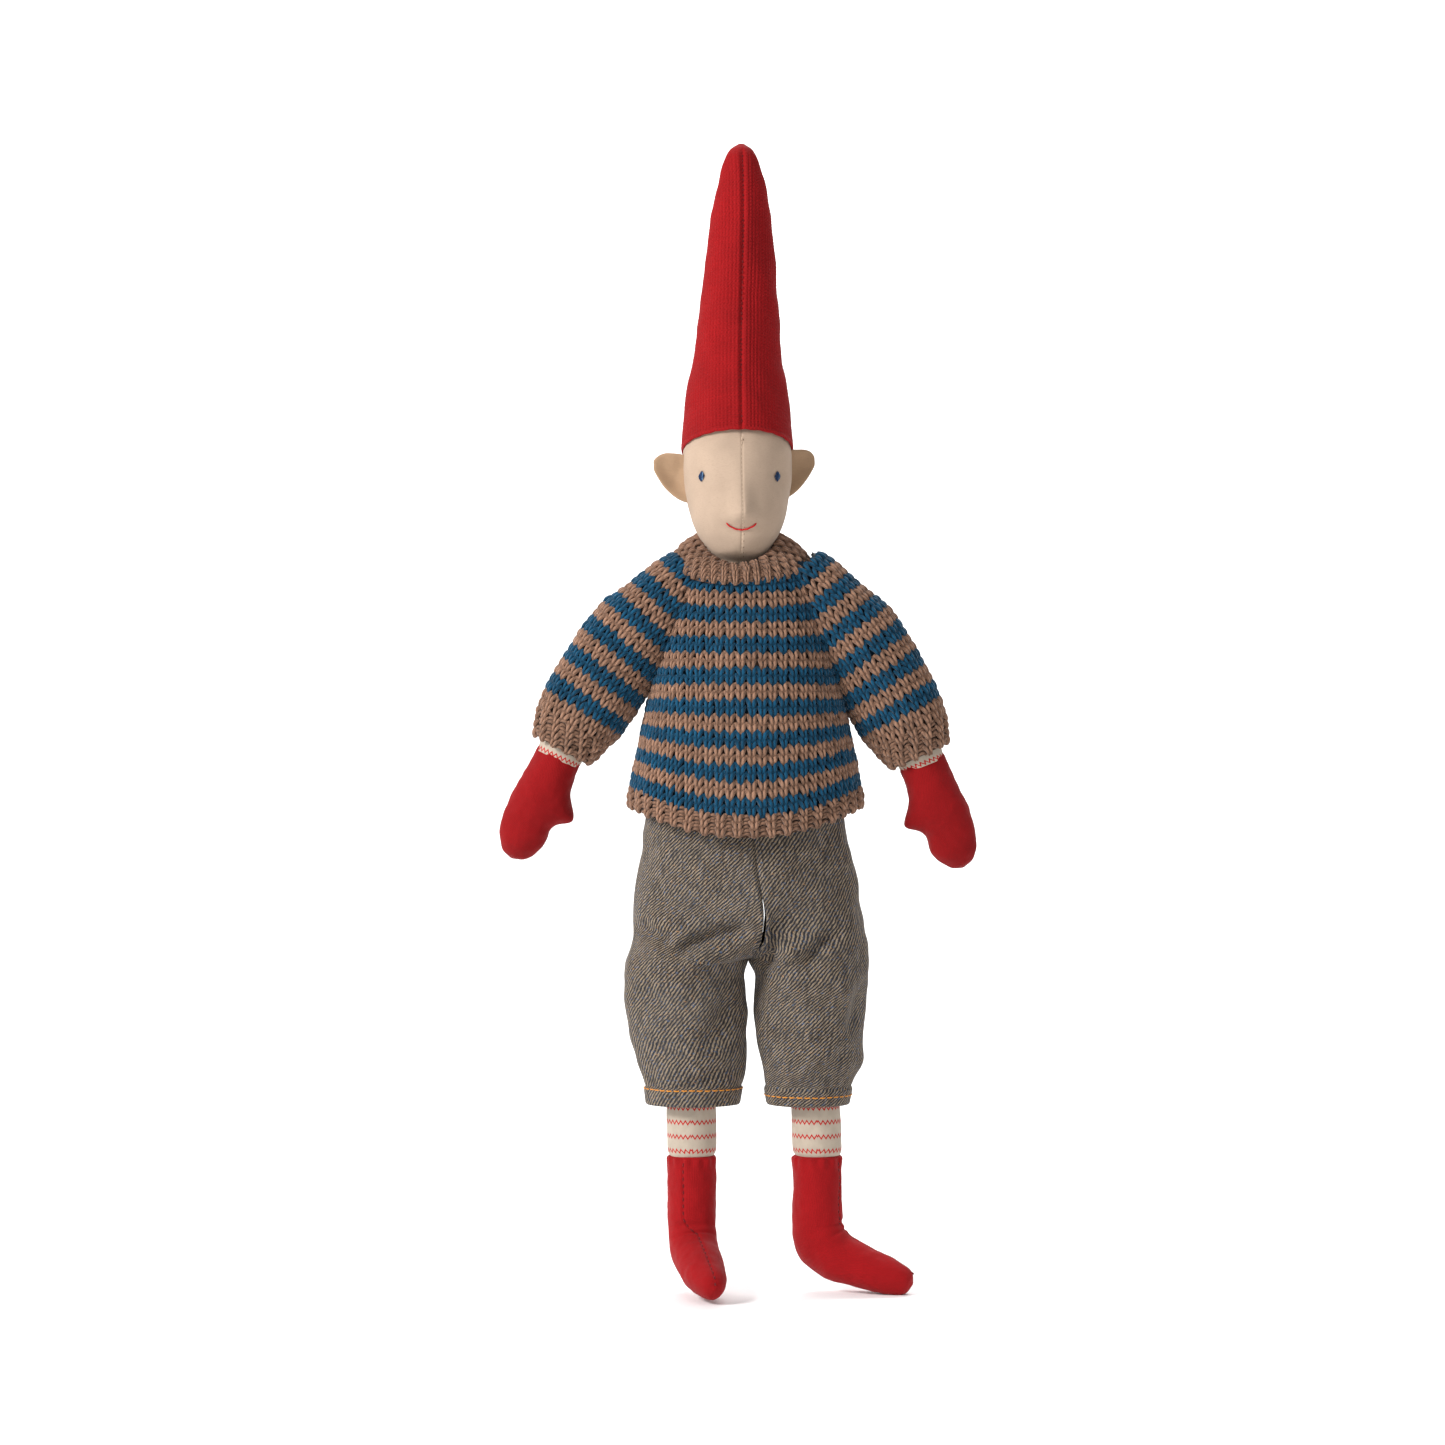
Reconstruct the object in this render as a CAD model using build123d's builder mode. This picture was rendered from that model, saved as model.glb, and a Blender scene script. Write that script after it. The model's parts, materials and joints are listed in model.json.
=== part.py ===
from build123d import *
import os
from math import atan2, cos, pi, radians, sin, tan

# A stuffed cloth tomte doll, 490 mm tall: linen head under a tall knitted hat, striped jersey arms
# and legs that end in mittens and boots, a hand-knitted jumper and twill breeches.
#
# Frame, in millimetres: the origin is the middle of the waist, where the doll is held upright.
# +Z is up, the doll faces -Y, and its own left hand is at +X.
# Everything that is sewn and stuffed is a thin casing round a solid of wadding. The arms swing and
# rise about their shoulder stitching, the legs swing about the hip thread, and the head turns on
# the neck seam.

# ---- driving dimensions -------------------------------------------------------------------------
CASING = 0.8  # sewn jersey and linen
HAT_KNIT = 1.2  # fine hat knit
TWILL = 1.2  # breeches cloth
YARN = 2.6  # thickness of the hand-knitted jumper
GAP = 0.3  # between pieces that move past each other
PIN_GAP = 0.06  # radial clearance of a thread bundle in its hole

HEAD_X, HEAD_TURN = -2.0, 4.5  # place and yaw, in degrees, of the head
NECK_SEAM_Z, NECK_R = 109.0, 10.5
HAT_EDGE_Z, HAT_EDGE_TILT = 162.0, 14.0  # the hat's edge is lower at the back

SHOULDER_X, SHOULDER_Z = 33.5, 96.0  # from the body's middle line
BODY_X = 1.5  # the body stands a little off the head's line
TUFT_R, STEM_R, STEM_LENGTH = 4.0, 2.0, 25.0
BAR_LENGTH = 14.0  # of the thread bar that the arm rises on, from front to back
ARM_TOP_R, SLEEVE_TOP_R = 12.0, 18.0
ARM_RAISE = 50.0  # degrees the arm rises from rest

HIP_Z, THIGH_R = -45.0, 25.0
LEG_BACK = 25.0  # degrees the leg swings back; it swings forward to the level
HIP_WEB = (1.4, 4.6)  # the crotch web, from x to x
CROTCH_Z = -58.0
HIP_THREAD_R = 1.0
HIP_THREAD = (-40.0, 46.0)  # from x to x
NECK_THREAD = (96.0, 122.0)  # from z to z
NECK_THREAD_R = 2.0
BREECHES_TOP_Z, BREECHES_HEM_Z = 12.0, -116.0
HEM_DEPTH = 6.0
BOOT_TOP_Z = -139.0
LEG_R = 10.2

# Sections: height, half width, half depth, and how far the middle lies forward (-) or back (+).
HEAD_RINGS = [
    (NECK_SEAM_Z, NECK_R, NECK_R, 0.0),
    (113.0, 11.2, 11.8, -0.6),
    (117.0, 12.6, 15.4, -2.6),
    (124.5, 16.8, 19.6, -3.2),
    (131.0, 19.6, 22.0, -2.6),
    (139.0, 21.5, 23.2, -1.8),
    (148.0, 22.9, 23.6, -1.2),
    (157.0, 23.4, 23.6, -0.6),
    (166.0, 23.1, 23.0, 0.0),
    (182.0, 21.4, 21.2, 0.4),
    (200.0, 18.4, 18.6, 0.6),
    (220.0, 16.3, 16.4, 0.4),
    (240.0, 14.6, 14.6, 0.0),
    (258.0, 12.3, 12.3, -0.4),
    (271.0, 9.8, 9.8, -0.6),
    (282.0, 7.2, 7.2, -0.6),
    (288.0, 4.6, 4.6, -0.6),
    (290.5, 1.4, 1.4, -0.6),
]
NOSE = (133.0, -22.0, 5.2)  # height, depth and radius of the nose
TORSO_RINGS = [
    (-45.0, 33.0, 20.5, 0.0),
    (-31.0, 34.6, 21.8, 0.0),
    (-18.0, 35.6, 22.8, 0.0),
    (-4.0, 36.0, 23.2, 0.0),
    (10.0, 36.2, 23.6, 0.0),
    (35.0, 35.5, 26.5, -1.0),
    (60.0, 33.0, 28.6, -0.6),
    (78.0, 29.0, 27.0, 0.0),
    (92.0, 22.0, 20.0, 0.0),
    (102.0, 13.0, 12.4, 0.0),
    (NECK_SEAM_Z - GAP, NECK_R, NECK_R, 0.0),
]
SEAT_RINGS = [
    (-47.0, 48.5, 28.0, 0.0),
    (-25.0, 46.6, 27.9, 0.0),
    (-4.0, 43.5, 27.4, 0.0),
    (BREECHES_TOP_Z, 41.0, 27.2, 0.0),
]
ELASTIC_DEPTH = 7.0
JUMPER_RINGS = [
    (-3.6, 49.4, 35.0, -1.0),
    (8.0, 50.6, 36.0, -1.0),
    (35.0, 46.0, 35.5, -1.0),
    (54.0, 41.4, 33.0, -0.6),
    (75.0, 37.0, 30.0, 0.0),
    (93.0, 32.6, 26.0, 0.4),
    (104.0, 29.6, 23.5, 0.8),
    (116.0, 26.0, 21.5, 1.0),
]
HEM_BAND_Z = 9.6
NECKBAND_RINGS = [
    (98.0, 29.6, 24.4, 0.8),
    (106.0, 29.6, 24.0, 0.9),
    (114.0, 26.2, 22.6, 1.2),
    (122.0, 23.2, 21.4, 1.4),
    (129.0, 22.6, 21.2, 1.6),
]
NECKBAND_EDGES = (107.0, 122.0)  # heights of its two edges at the sides
NECKBAND_TILT = 15.0  # both edges are lower at the front
RAGLAN_TOP, RAGLAN_FOOT = (30.0, 97.0), (39.5, 61.0)  # line between body and sleeve
RAGLAN_RUN_ON = 10.0  # how far below its foot the gap for the sleeve runs on
RAGLAN_CLEARANCE = (0.8, 4.0)  # gap at its top, and degrees that it widens by
# Down the sleeve: across and up from the shoulder, degrees outward from straight down, half
# width, half depth. The last stretch is the cuff.
SLEEVE_RINGS = [
    (3.0, -4.0, 41.0, 17.2, 16.8),
    (13.0, -13.6, 40.0, 19.4, 17.0),
    (22.0, -25.0, 38.0, 19.0, 16.4),
    (33.5, -43.0, 33.0, 19.0, 15.6),
    (39.6, -53.2, 29.0, 17.0, 14.4),
    (44.7, -62.4, 29.0, 13.4, 12.0),
]
ARM_RINGS = [
    (3.0, -4.0, 40.0, 11.0, 11.0),
    (10.0, -10.0, 41.0, 11.8, 11.0),
    (21.0, -23.4, 38.0, 12.0, 10.6),
    (33.5, -43.0, 33.0, 11.8, 10.2),
    (40.3, -55.0, 27.0, 11.4, 9.8),
    (46.4, -66.6, 25.0, 11.0, 9.8),
]
# Down the mitten: distance from the wrist, half width, half depth.
MITTEN_RINGS = [
    (0.0, 10.6, 9.2),
    (12.0, 11.2, 8.9),
    (26.0, 11.4, 8.6),
    (36.0, 10.4, 7.4),
    (42.5, 7.6, 5.4),
    (46.0, 3.2, 2.4),
]
THUMB = (20.0, 10.2, 4.8)  # distance from the wrist, reach towards the body, radius
# Down the stuffed leg inside: height, half width, half depth.
LEG_RINGS = [
    (HIP_Z, 22.4, 23.9),
    (-56.0, 20.6, 21.0),
    (-67.0, 17.4, 17.4),
    (-78.0, 14.8, 14.8),
    (-89.0, 12.6, 12.6),
    (-100.0, 11.2, 11.2),
    (-111.0, 10.4, 10.4),
    (-125.0, LEG_R, LEG_R),
    (BOOT_TOP_Z, LEG_R, LEG_R),
]
# Down each trouser leg: height, middle, half width, half depth.
BREECHES_RINGS = {
    "right": [
        (HIP_Z, -23.0, 23.6, 24.8),
        (-58.0, -24.2, 24.7, 24.2),
        (-72.0, -23.9, 25.4, 23.6),
        (-97.0, -21.0, 23.2, 21.0),
        (-110.0, -20.6, 20.6, 18.0),
        (BREECHES_HEM_Z, -20.8, 19.0, 16.6),
    ],
    "left": [
        (HIP_Z, 28.8, 23.4, 24.8),
        (-58.0, 29.4, 24.2, 24.2),
        (-72.0, 29.0, 24.0, 23.6),
        (-97.0, 29.4, 22.4, 21.0),
        (-110.0, 28.4, 19.2, 18.0),
        (BREECHES_HEM_Z, 28.9, 17.9, 16.6),
    ],
}
# Down each boot, in its own upright plane: forward, height from the boot's top, pitch of the
# section in degrees, half width, half height.
BOOT_RINGS = [
    (0.0, 0.0, 0.0, 10.3, 10.3),
    (0.0, -10.0, 0.0, 10.4, 10.4),
    (-0.2, -20.0, 0.0, 10.5, 10.6),
    (0.2, -29.5, 12.0, 10.4, 11.0),
    (2.8, -37.5, 34.0, 10.2, 11.6),
    (8.5, -42.2, 56.0, 9.8, 10.6),
    (17.0, -45.5, 66.0, 9.4, 9.6),
    (25.4, -48.6, 68.0, 9.0, 8.4),
    (33.0, -50.8, 70.0, 8.0, 6.6),
    (38.2, -52.2, 72.0, 5.6, 4.8),
    (41.0, -52.8, 74.0, 2.4, 2.2),
]
# For each side of the doll: sign along X, degrees its arm hangs closer, middle of the leg at hip
# and ankle, yaw of the boot, and degrees the foot points further down.
SIDES = {
    "right": (-1, 0.0, -22.4, -21.4, 14.0, -3.0),
    "left": (1, 3.7, 28.4, 32.0, 76.0, 0.0),
}

os.makedirs("parts", exist_ok=True)


# ---- helpers ------------------------------------------------------------------------------------
def oval(plane, half_width, half_depth, shift=0.0):
    """A rounded section, drawn from the same starting point each time, so that lofts don't twist."""
    corners = 10
    turns = [2 * pi * i / corners for i in range(corners)]
    with BuildSketch(plane) as section:
        with BuildLine():
            Spline(
                *[(half_width * cos(a), half_depth * sin(a) + shift) for a in turns],
                periodic=True,
            )
        make_face()
    return section.sketch


def level_rings(rings, middle_x=0.0, turn=0.0, inset=0.0):
    """Level sections of a body part, each taken in by the inset."""
    facing = (cos(radians(turn)), sin(radians(turn)), 0)
    return [
        oval(Plane((middle_x, 0, z), x_dir=facing), wide - inset, deep - inset, shift)
        for z, wide, deep, shift in rings
    ]


def stretched(rings, below=0.0, above=0.0):
    """The same rings with their two ends moved out, for a hollow that runs past both ends."""
    first, *middle, last = rings
    return [(first[0] - below, *first[1:]), *middle, (last[0] + above, *last[1:])]


def keep(piece, name):
    """Labels a finished piece and writes its file."""
    piece.part.label = name
    export_step(piece.part, f"parts/{name}.step")


def half(piece, plane, side):
    """One half of a casing that is sewn from two panels."""
    with BuildPart() as panel:
        add(piece.part)
        split(bisect_by=plane, keep=side)
    return panel


# ---- head and hat -------------------------------------------------------------------------------
head_facing = (cos(radians(HEAD_TURN)), sin(radians(HEAD_TURN)), 0)
head_across = Plane((HEAD_X, 0, 0), x_dir=(0, 0, 1), z_dir=head_facing)
head_front = Plane(
    (HEAD_X, 0, 0), x_dir=head_facing, z_dir=(sin(radians(HEAD_TURN)), -cos(radians(HEAD_TURN)), 0)
)
hat_edge = Plane(
    (HEAD_X, 0, HAT_EDGE_Z),
    x_dir=head_facing,
    z_dir=(0, sin(radians(HAT_EDGE_TILT)), cos(radians(HAT_EDGE_TILT))),
)
nose_z, nose_forward, nose_r = NOSE


def head_form(inset):
    """Head and hat together, as one stuffed form taken in by the inset."""
    top = HEAD_RINGS[:-1] if inset > 0 else HEAD_RINGS
    with BuildPart() as form:
        loft(sections=level_rings(top, HEAD_X, HEAD_TURN, inset))
        with Locations(head_front.from_local_coords(Vector(0, nose_z, -nose_forward))):
            Sphere(nose_r - inset)
    return form.part


def neck_rod(radius, past):
    """The thread that the head turns on, or its hole in the head."""
    with BuildPart() as rod:
        with Locations((HEAD_X, 0, NECK_THREAD[0])):
            Cylinder(
                radius,
                NECK_THREAD[1] - NECK_THREAD[0] + past,
                align=(Align.CENTER, Align.CENTER, Align.MIN),
            )
    return rod.part


head_outside = head_form(0.0)
head_under_linen = head_form(CASING)
head_under_hat = head_form(HAT_KNIT)
head_skin = head_form(-0.5)

with BuildPart() as head_casing:
    add(head_outside)
    add(head_under_linen, mode=Mode.SUBTRACT)
    split(bisect_by=hat_edge, keep=Keep.BOTTOM)
    split(bisect_by=Plane.XY.offset(NECK_SEAM_Z + CASING), keep=Keep.TOP)
for name, side in (("right", Keep.BOTTOM), ("left", Keep.TOP)):
    head_panel = half(head_casing, head_across, side)
    keep(head_panel, f"head_panel_{name}")

with BuildPart() as head_stuffing:
    add(head_under_linen)
    split(bisect_by=hat_edge, keep=Keep.BOTTOM)
    add(neck_rod(NECK_THREAD_R + PIN_GAP, 0.5), mode=Mode.SUBTRACT)
keep(head_stuffing, "head_stuffing")

with BuildPart() as hat_casing:
    add(head_outside)
    add(head_under_hat, mode=Mode.SUBTRACT)
    split(bisect_by=hat_edge, keep=Keep.TOP)
for name, side in (("right", Keep.BOTTOM), ("left", Keep.TOP)):
    hat_panel = half(hat_casing, head_across, side)
    keep(hat_panel, f"hat_panel_{name}")

with BuildPart() as hat_stuffing:
    add(head_under_hat)
    split(bisect_by=hat_edge, keep=Keep.TOP)
keep(hat_stuffing, "hat_stuffing")

EAR_Z, EAR_HALF_HEIGHT, EAR_REACH, EAR_THICK = 146.5, 10.8, 35.4, 4.4
for name, sign, lift in (("right", -1, -0.8), ("left", 1, 1.0)):
    with BuildPart() as ear:
        with BuildSketch(head_front.offset(-EAR_THICK / 2)):
            with BuildLine():
                Spline(
                    (sign * 18.0, EAR_Z + lift - EAR_HALF_HEIGHT),
                    (sign * 26.0, EAR_Z + lift - EAR_HALF_HEIGHT + 2.6),
                    (sign * EAR_REACH, EAR_Z + lift + 5.0),
                    (sign * 31.5, EAR_Z + lift + EAR_HALF_HEIGHT - 0.6),
                    (sign * 25.0, EAR_Z + lift + EAR_HALF_HEIGHT - 2.8),
                    (sign * 18.0, EAR_Z + lift + EAR_HALF_HEIGHT - 6.0),
                )
                Line(
                    (sign * 18.0, EAR_Z + lift + EAR_HALF_HEIGHT - 6.0),
                    (sign * 18.0, EAR_Z + lift - EAR_HALF_HEIGHT),
                )
            make_face()
        extrude(amount=EAR_THICK)
        fillet(ear.edges().filter_by(GeomType.BSPLINE), 1.4)
        add(head_outside, mode=Mode.SUBTRACT)
    keep(ear, f"ear_{name}")

EYE_X, EYE_Z, EYE_WIDE, EYE_TALL = 16.2, 148.3, 1.1, 2.3
for name, sign in (("right", -1), ("left", 1)):
    with BuildPart() as eye:
        with BuildSketch(head_front.offset(8)):
            with Locations((sign * EYE_X, EYE_Z)):
                Ellipse(EYE_WIDE, EYE_TALL)
        extrude(amount=30)
        add(head_skin, mode=Mode.INTERSECT)
        add(head_outside, mode=Mode.SUBTRACT)
    keep(eye, f"eye_{name}")

MOUTH_HALF, MOUTH_Z, MOUTH_DROP, MOUTH_THREAD = 6.0, 128.6, 2.6, 0.9
with BuildPart() as mouth:
    with BuildSketch(head_front.offset(8)):
        with BuildLine():
            ThreePointArc((-MOUTH_HALF, MOUTH_Z), (0, MOUTH_Z - MOUTH_DROP), (MOUTH_HALF, MOUTH_Z))
        trace(line_width=MOUTH_THREAD)
    extrude(amount=30)
    add(head_skin, mode=Mode.INTERSECT)
    add(head_outside, mode=Mode.SUBTRACT)
keep(mouth, "mouth_stitching")

# ---- torso --------------------------------------------------------------------------------------
def thigh_room(radius):
    """The space that the legs' round tops turn in, with what the thighs sweep through."""
    back_y = radius * cos(radians(LEG_BACK))
    back_z = HIP_Z + radius * sin(radians(LEG_BACK))
    with BuildPart() as room:
        with BuildSketch(Plane.YZ.offset(-60)):
            with Locations((0, HIP_Z)):
                Circle(radius)
            with BuildLine():
                Polyline(
                    (-60, HIP_Z + radius),
                    (0, HIP_Z + radius),
                    (0, HIP_Z),
                    (back_y, back_z),
                    (60, back_z - (60 - back_y) / tan(radians(LEG_BACK))),
                    (60, -150),
                    (-60, -150),
                    close=True,
                )
            make_face()
        extrude(amount=120)
    return room.part


def shoulder_room(radius):
    """The two round spaces that the tops of the arms turn in."""
    with BuildPart() as room:
        with Locations(*[(BODY_X + s * SHOULDER_X, 0, SHOULDER_Z) for s in (-1, 1)]):
            Sphere(radius, rotation=(90, 0, 0))
    return room.part


def raglan_room(side, gap, widening):
    """Everything outside the line where a sleeve meets the body, on one side."""
    (top_x, top_z), (foot_x, foot_z) = RAGLAN_TOP, RAGLAN_FOOT
    slope = tan(atan2(foot_x - top_x, top_z - foot_z) - radians(widening))
    foot = foot_z - RAGLAN_RUN_ON
    outline = [
        (top_x - gap + (top_z - foot) * slope, foot),
        (top_x - gap + (top_z - 130) * slope, 130),
        (120, 130),
        (120, foot),
    ]
    with BuildPart() as room:
        with BuildSketch(Plane.XZ):
            with BuildLine():
                Polyline(*[(BODY_X + side * x, z) for x, z in outline], close=True)
            make_face()
        extrude(amount=60, both=True)
    return room.part


def rod_along_x(x_from, x_to, z, radius):
    """A bundle of thread, or its hole, from side to side."""
    with BuildPart() as rod:
        with BuildSketch(Plane.YZ.offset(x_from)):
            with Locations((0, z)):
                Circle(radius)
        extrude(amount=x_to - x_from)
    return rod.part


def shoulder_rods(radius, past):
    """The stems of both shoulder stitches, or their holes."""
    with BuildPart() as rods:
        for s in (-1, 1):
            ends = sorted(
                BODY_X + s * x for x in (SHOULDER_X, SHOULDER_X - STEM_LENGTH - past)
            )
            add(rod_along_x(ends[0], ends[1], SHOULDER_Z, radius))
    return rods.part


def torso_form(inset):
    """The stuffed body, hollowed where the arms and legs turn."""
    with BuildPart() as form:
        loft(sections=level_rings(TORSO_RINGS, BODY_X, 0, inset))
        add(thigh_room(THIGH_R + GAP + inset), mode=Mode.SUBTRACT)
        add(shoulder_room(SLEEVE_TOP_R + GAP + inset), mode=Mode.SUBTRACT)
    return form.part


shoulder_holes = shoulder_rods(STEM_R + PIN_GAP, 0.5)
neck_thread_form = neck_rod(NECK_THREAD_R, 0)
torso_outside = torso_form(0.0)
torso_inside = torso_form(CASING)
with BuildPart() as torso_casing:
    add(torso_outside)
    add(torso_inside, mode=Mode.SUBTRACT)
    add(shoulder_holes, mode=Mode.SUBTRACT)
    add(neck_thread_form, mode=Mode.SUBTRACT)
for name, side in (("front", Keep.TOP), ("back", Keep.BOTTOM)):
    torso_panel = half(torso_casing, Plane.XZ, side)
    keep(torso_panel, f"torso_{name}")

with BuildPart() as torso_stuffing:
    add(torso_inside)
    add(shoulder_holes, mode=Mode.SUBTRACT)
    add(neck_thread_form, mode=Mode.SUBTRACT)
keep(torso_stuffing, "torso_stuffing")

with BuildPart() as neck_thread:
    add(neck_thread_form)
keep(neck_thread, "neck_thread")

# ---- seat of the breeches -----------------------------------------------------------------------
seat_hollow = level_rings(stretched(SEAT_RINGS, 2, 2), BODY_X, 0, TWILL)
with BuildPart() as seat:
    loft(sections=level_rings(SEAT_RINGS, BODY_X))
    loft(sections=seat_hollow, mode=Mode.SUBTRACT)
    add(thigh_room(THIGH_R + GAP), mode=Mode.SUBTRACT)
for name, side in (("front", Keep.TOP), ("back", Keep.BOTTOM)):
    seat_panel = half(seat, Plane.XZ, side)
    keep(seat_panel, f"breeches_{name}")

with BuildPart() as waist_elastic:
    loft(sections=seat_hollow)
    split(bisect_by=Plane.XY.offset(BREECHES_TOP_Z), keep=Keep.BOTTOM)
    split(bisect_by=Plane.XY.offset(BREECHES_TOP_Z - ELASTIC_DEPTH), keep=Keep.TOP)
    add(torso_outside, mode=Mode.SUBTRACT)
keep(waist_elastic, "waist_elastic")

with BuildPart() as crotch:
    with BuildSketch(Plane.YZ.offset(HIP_WEB[0])):
        with Locations((0, (CROTCH_Z + 10) / 2)):
            RectangleRounded(34, 10 - CROTCH_Z, 6)
    extrude(amount=HIP_WEB[1] - HIP_WEB[0])
    add(torso_outside, mode=Mode.SUBTRACT)
    add(torso_inside, mode=Mode.SUBTRACT)
    add(rod_along_x(HIP_WEB[0] - 1, HIP_WEB[1] + 1, HIP_Z, HIP_THREAD_R), mode=Mode.SUBTRACT)
keep(crotch, "breeches_crotch")

with BuildPart() as hip_thread:
    add(rod_along_x(HIP_THREAD[0], HIP_THREAD[1], HIP_Z, HIP_THREAD_R))
keep(hip_thread, "hip_thread")

# ---- jumper body --------------------------------------------------------------------------------
low_edge, high_edge = (
    Plane(
        (HEAD_X, 0, z),
        z_dir=(0, -sin(radians(NECKBAND_TILT)), cos(radians(NECKBAND_TILT))),
    )
    for z in NECKBAND_EDGES
)
with BuildPart() as jumper:
    loft(sections=level_rings(JUMPER_RINGS, BODY_X))
    loft(sections=level_rings(stretched(JUMPER_RINGS, 2, 2), BODY_X, 0, YARN), mode=Mode.SUBTRACT)
    split(bisect_by=low_edge, keep=Keep.BOTTOM)
    add(torso_outside, mode=Mode.SUBTRACT)
    add(shoulder_room(SLEEVE_TOP_R + GAP), mode=Mode.SUBTRACT)
    for side in (-1, 1):
        add(raglan_room(side, *RAGLAN_CLEARANCE), mode=Mode.SUBTRACT)
with BuildPart() as jumper_body:
    add(jumper.part)
    split(bisect_by=Plane.XY.offset(HEM_BAND_Z), keep=Keep.TOP)
for name, side in (("front", Keep.TOP), ("back", Keep.BOTTOM)):
    jumper_panel = half(jumper_body, Plane.XZ, side)
    keep(jumper_panel, f"jumper_{name}")

with BuildPart() as hem_band:
    add(jumper.part)
    split(bisect_by=Plane.XY.offset(HEM_BAND_Z), keep=Keep.BOTTOM)
keep(hem_band, "jumper_hem_band")

with BuildPart() as neckband:
    loft(sections=level_rings(NECKBAND_RINGS, HEAD_X + 0.5))
    loft(
        sections=level_rings(stretched(NECKBAND_RINGS, 2, 2), HEAD_X + 0.5, 0, YARN),
        mode=Mode.SUBTRACT,
    )
    split(bisect_by=low_edge, keep=Keep.TOP)
    split(bisect_by=high_edge, keep=Keep.BOTTOM)
    add(shoulder_room(SLEEVE_TOP_R + GAP), mode=Mode.SUBTRACT)
keep(neckband, "jumper_neckband")


# ---- arms ---------------------------------------------------------------------------------------
def limb_plane(pivot, side, across, up, angle, closer):
    """A plane square to the arm, `across` and `up` from the shoulder, at an angle from straight
    down, all turned in towards the body by `closer` degrees."""
    turn = radians(closer)
    x = across * cos(turn) + up * sin(turn)
    z = up * cos(turn) - across * sin(turn)
    lean = radians(angle - closer)
    return Plane(
        pivot + Vector(side * x, 0, z),
        x_dir=(cos(lean), 0, side * sin(lean)),
        z_dir=(side * sin(lean), 0, -cos(lean)),
    )


def arm_loft(rings, pivot, side, closer, inset):
    """Sections down the arm, each taken in by the inset."""
    return [
        oval(limb_plane(pivot, side, across, up, angle, closer), wide - inset, deep - inset)
        for across, up, angle, wide, deep in rings
    ]


def stem_sweep(pivot, side, radius):
    """What the shoulder stem passes through, seen from the arm, as the arm is raised."""
    middle = Plane(pivot, x_dir=(side, 0, 0), z_dir=(0, -side, 0))
    reach = SLEEVE_TOP_R + 6
    limits = [180, 180 - ARM_RAISE]
    with BuildPart() as sweep:
        with BuildSketch(middle):
            for turn in limits:
                with Locations(Rotation(0, 0, turn)):
                    with Locations((reach / 2, 0)):
                        Rectangle(reach, 2 * radius)
            with BuildLine():
                Polyline(
                    (0, 0),
                    *[(reach * cos(radians(t)), reach * sin(radians(t))) for t in limits],
                    close=True,
                )
            make_face()
        extrude(amount=radius, both=True)
    return sweep.part


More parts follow.
